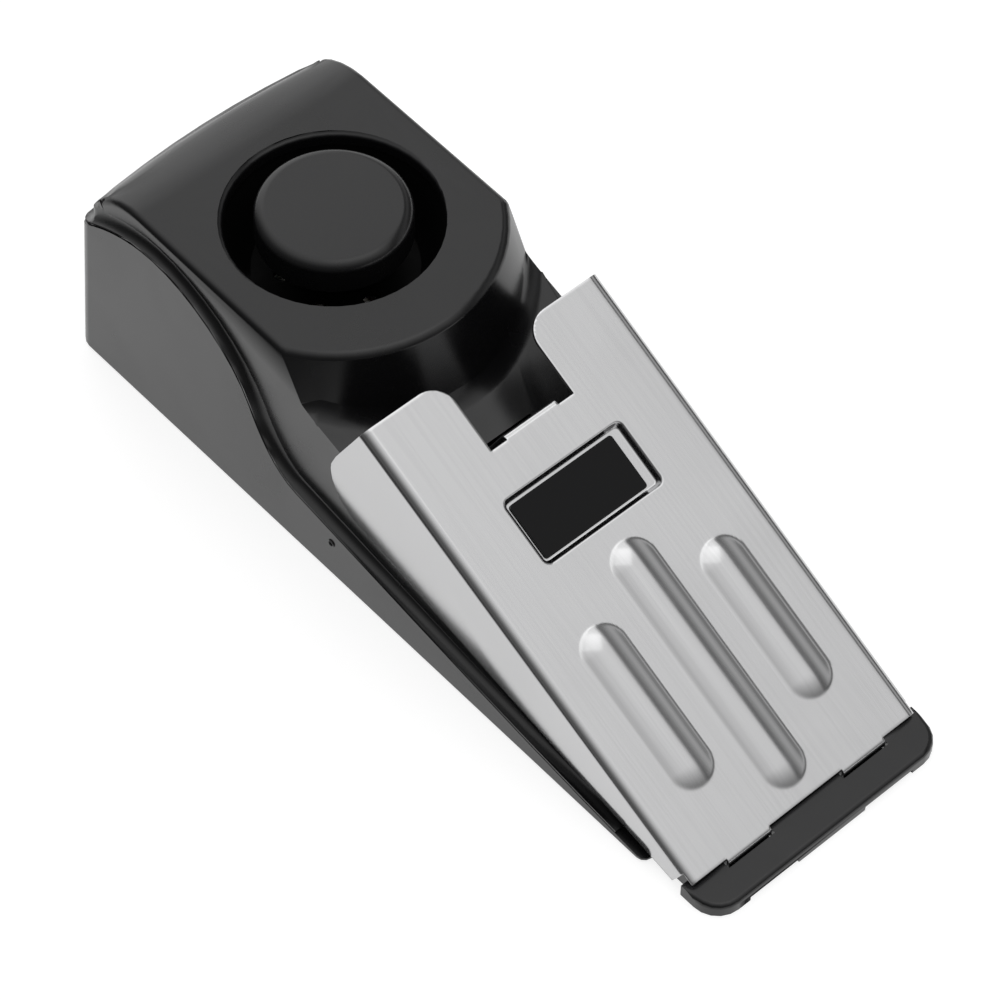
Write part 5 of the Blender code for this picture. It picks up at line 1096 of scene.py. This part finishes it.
spring_shape = wound_wire(SPRING_RADIUS, SPRING_WIRE, -SPRING_LENGTH + SPRING_WIRE, -SPRING_WIRE,
                          SPRING_TURNS)
under_pocket = along_plate(POCKET_MIDDLE, 0, -POCKET_DEPTH - SHEET)
seat = Matrix.Translation(under_pocket) @ Matrix.Rotation(PLATE_ANGLE, 4, "Y")
bmesh.ops.transform(spring_shape, matrix=seat, verts=spring_shape.verts)
spring = new_piece("return_spring_finished", spring_shape, SKIN["spring_steel"], 60.0)
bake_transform(spring, "housing", "plate", seat @ Vector((0, 0, -SPRING_LENGTH)), seat @ Vector((0, 0, 0)))
stand_in(spring, "return_spring")

# %% [markdown]
# A pale floor and a soft room. The light comes from a wide box overhead that fades out
# downwards. A weaker strip on the far side shows in slopes that face it, such as those of
# the ribs, and a bright wall behind the object shows in the head's round rear edge.

# %% Floor and light
BOX_AIM, WALL_AIM, WALL_LIGHT = (-0.1, 0.35, 0.93), (-0.9, 0.4, 0.15), 0.75
BOX_STOPS = [(0.0, 0.12), (0.16, 0.20), (0.30, 0.30), (0.435, 0.45), (0.60, 0.66),
             (0.72, 0.86), (0.82, 0.98), (0.90, 1.01), (0.95, 1.12), (1.0, 1.3)]
STRIP_STOPS = [(0.54, 0.12), (0.62, 0.12), (0.70, 0.32), (0.81, 0.58), (0.87, 0.45), (0.93, 0.15),
               (1.0, 0.12)]
FLOOR_GREY = (0.40, 0.40, 0.40, 1)
CAMERA_GLOW, NEAR_GLOW, FAR_GLOW = 0.80, 0.74, 0.06
GLOW_EDGE = (-0.115, -0.05)


def towards(tree, direction, place):
    """How nearly a direction points to a place: 1 straight at it, 0 square to it."""
    inputs = {0: direction, 1: Vector(place).normalized()}
    return node(tree, "ShaderNodeVectorMath", inputs, operation="DOT_PRODUCT").outputs["Value"]


def eased(tree, value, low, high):
    """From 0 to 1 while the value goes from low to high."""
    return node(tree, "ShaderNodeMapRange", {"Value": value, "From Min": low, "From Max": high},
                interpolation_type="SMOOTHERSTEP").outputs["Result"]


def build_room():
    """A wide soft box overhead, a strip to one side, and a bright wall; white to the camera."""
    world = bpy.data.worlds.new("studio")
    bpy.context.scene.world = world
    world.use_nodes = True
    tree = world.node_tree
    tree.nodes.clear()
    direction = node(tree, "ShaderNodeTexCoord").outputs["Generated"]
    across = node(tree, "ShaderNodeSeparateXYZ", {0: direction}).outputs["Y"]
    box = ramp(tree, towards(tree, direction, BOX_AIM), BOX_STOPS)
    strip = ramp(tree, across, STRIP_STOPS)
    level = blended(tree, eased(tree, across, 0.50, 0.56), box, strip)
    wall = eased(tree, towards(tree, direction, WALL_AIM), 0.65, 1.0)
    wall = maths(tree, "MULTIPLY", wall, WALL_LIGHT)
    total = maths(tree, "ADD", level, wall)
    seen = node(tree, "ShaderNodeLightPath").outputs["Is Camera Ray"]
    colour = blended(tree, seen, total, (1.0, 1.0, 1.0))
    sky = node(tree, "ShaderNodeBackground", {"Color": colour, "Strength": 1.0})
    tree.links.new(sky.outputs[0], node(tree, "ShaderNodeOutputWorld").inputs[0])


def glow(tree, strength):
    return node(tree, "ShaderNodeEmission", {"Strength": strength}).outputs[0]


def glowing(tree, base, strength):
    return node(tree, "ShaderNodeAddShader", {0: base, 1: glow(tree, strength)}).outputs[0]


def mixed(tree, share, first, second):
    return node(tree, "ShaderNodeMixShader", {0: share, 1: first, 2: second}).outputs[0]


def floor_material():
    """Matt grey that looks paler to the camera and in reflections, and can't be seen from below."""
    made = bpy.data.materials.new("pale floor")
    made.use_nodes = True
    tree = made.node_tree
    tree.nodes.clear()
    path = node(tree, "ShaderNodeLightPath").outputs
    matt = node(tree, "ShaderNodeBsdfDiffuse", {"Color": FLOOR_GREY}).outputs[0]
    place = node(tree, "ShaderNodeTexCoord").outputs["Object"]
    across = node(tree, "ShaderNodeSeparateXYZ", {0: place}).outputs["Y"]
    near_side = eased(tree, across, *GLOW_EDGE)
    reflected = mixed(tree, near_side, glow(tree, FAR_GLOW), glowing(tree, matt, NEAR_GLOW))
    front = mixed(tree, path["Is Camera Ray"], matt, glowing(tree, matt, CAMERA_GLOW))
    front = mixed(tree, path["Is Glossy Ray"], front, reflected)
    clear = node(tree, "ShaderNodeBsdfTransparent").outputs[0]
    under = node(tree, "ShaderNodeNewGeometry").outputs["Backfacing"]
    output = node(tree, "ShaderNodeOutputMaterial")
    tree.links.new(mixed(tree, under, front, clear), output.inputs[0])
    return made


def build_floor():
    shape = bmesh.new()
    bmesh.ops.create_grid(shape, x_segments=1, y_segments=1, size=4.0)
    mesh = bpy.data.meshes.new("floor")
    shape.to_mesh(mesh)
    shape.free()
    mesh.materials.append(floor_material())
    floor = bpy.data.objects.new("floor", mesh)
    bpy.context.scene.collection.objects.link(floor)


def add_panel(name, place, width, watts):
    """A square light that looks at the object."""
    lamp = bpy.data.lights.new(name, "AREA")
    lamp.size = width
    lamp.energy = watts
    made = bpy.data.objects.new(name, lamp)
    made.location = place
    made.rotation_euler = Vector(place).to_track_quat("Z", "Y").to_euler()
    bpy.context.scene.collection.objects.link(made)


build_room()
build_floor()
add_panel("soft box overhead", Vector((0.1, 0.15, 1.0)).normalized() * 1.6, 0.9, 0.9)

# %% [markdown]
# The last cell leaves the picture's colours as they are.

# %% Finish
bpy.context.scene.view_settings.view_transform = "Standard"
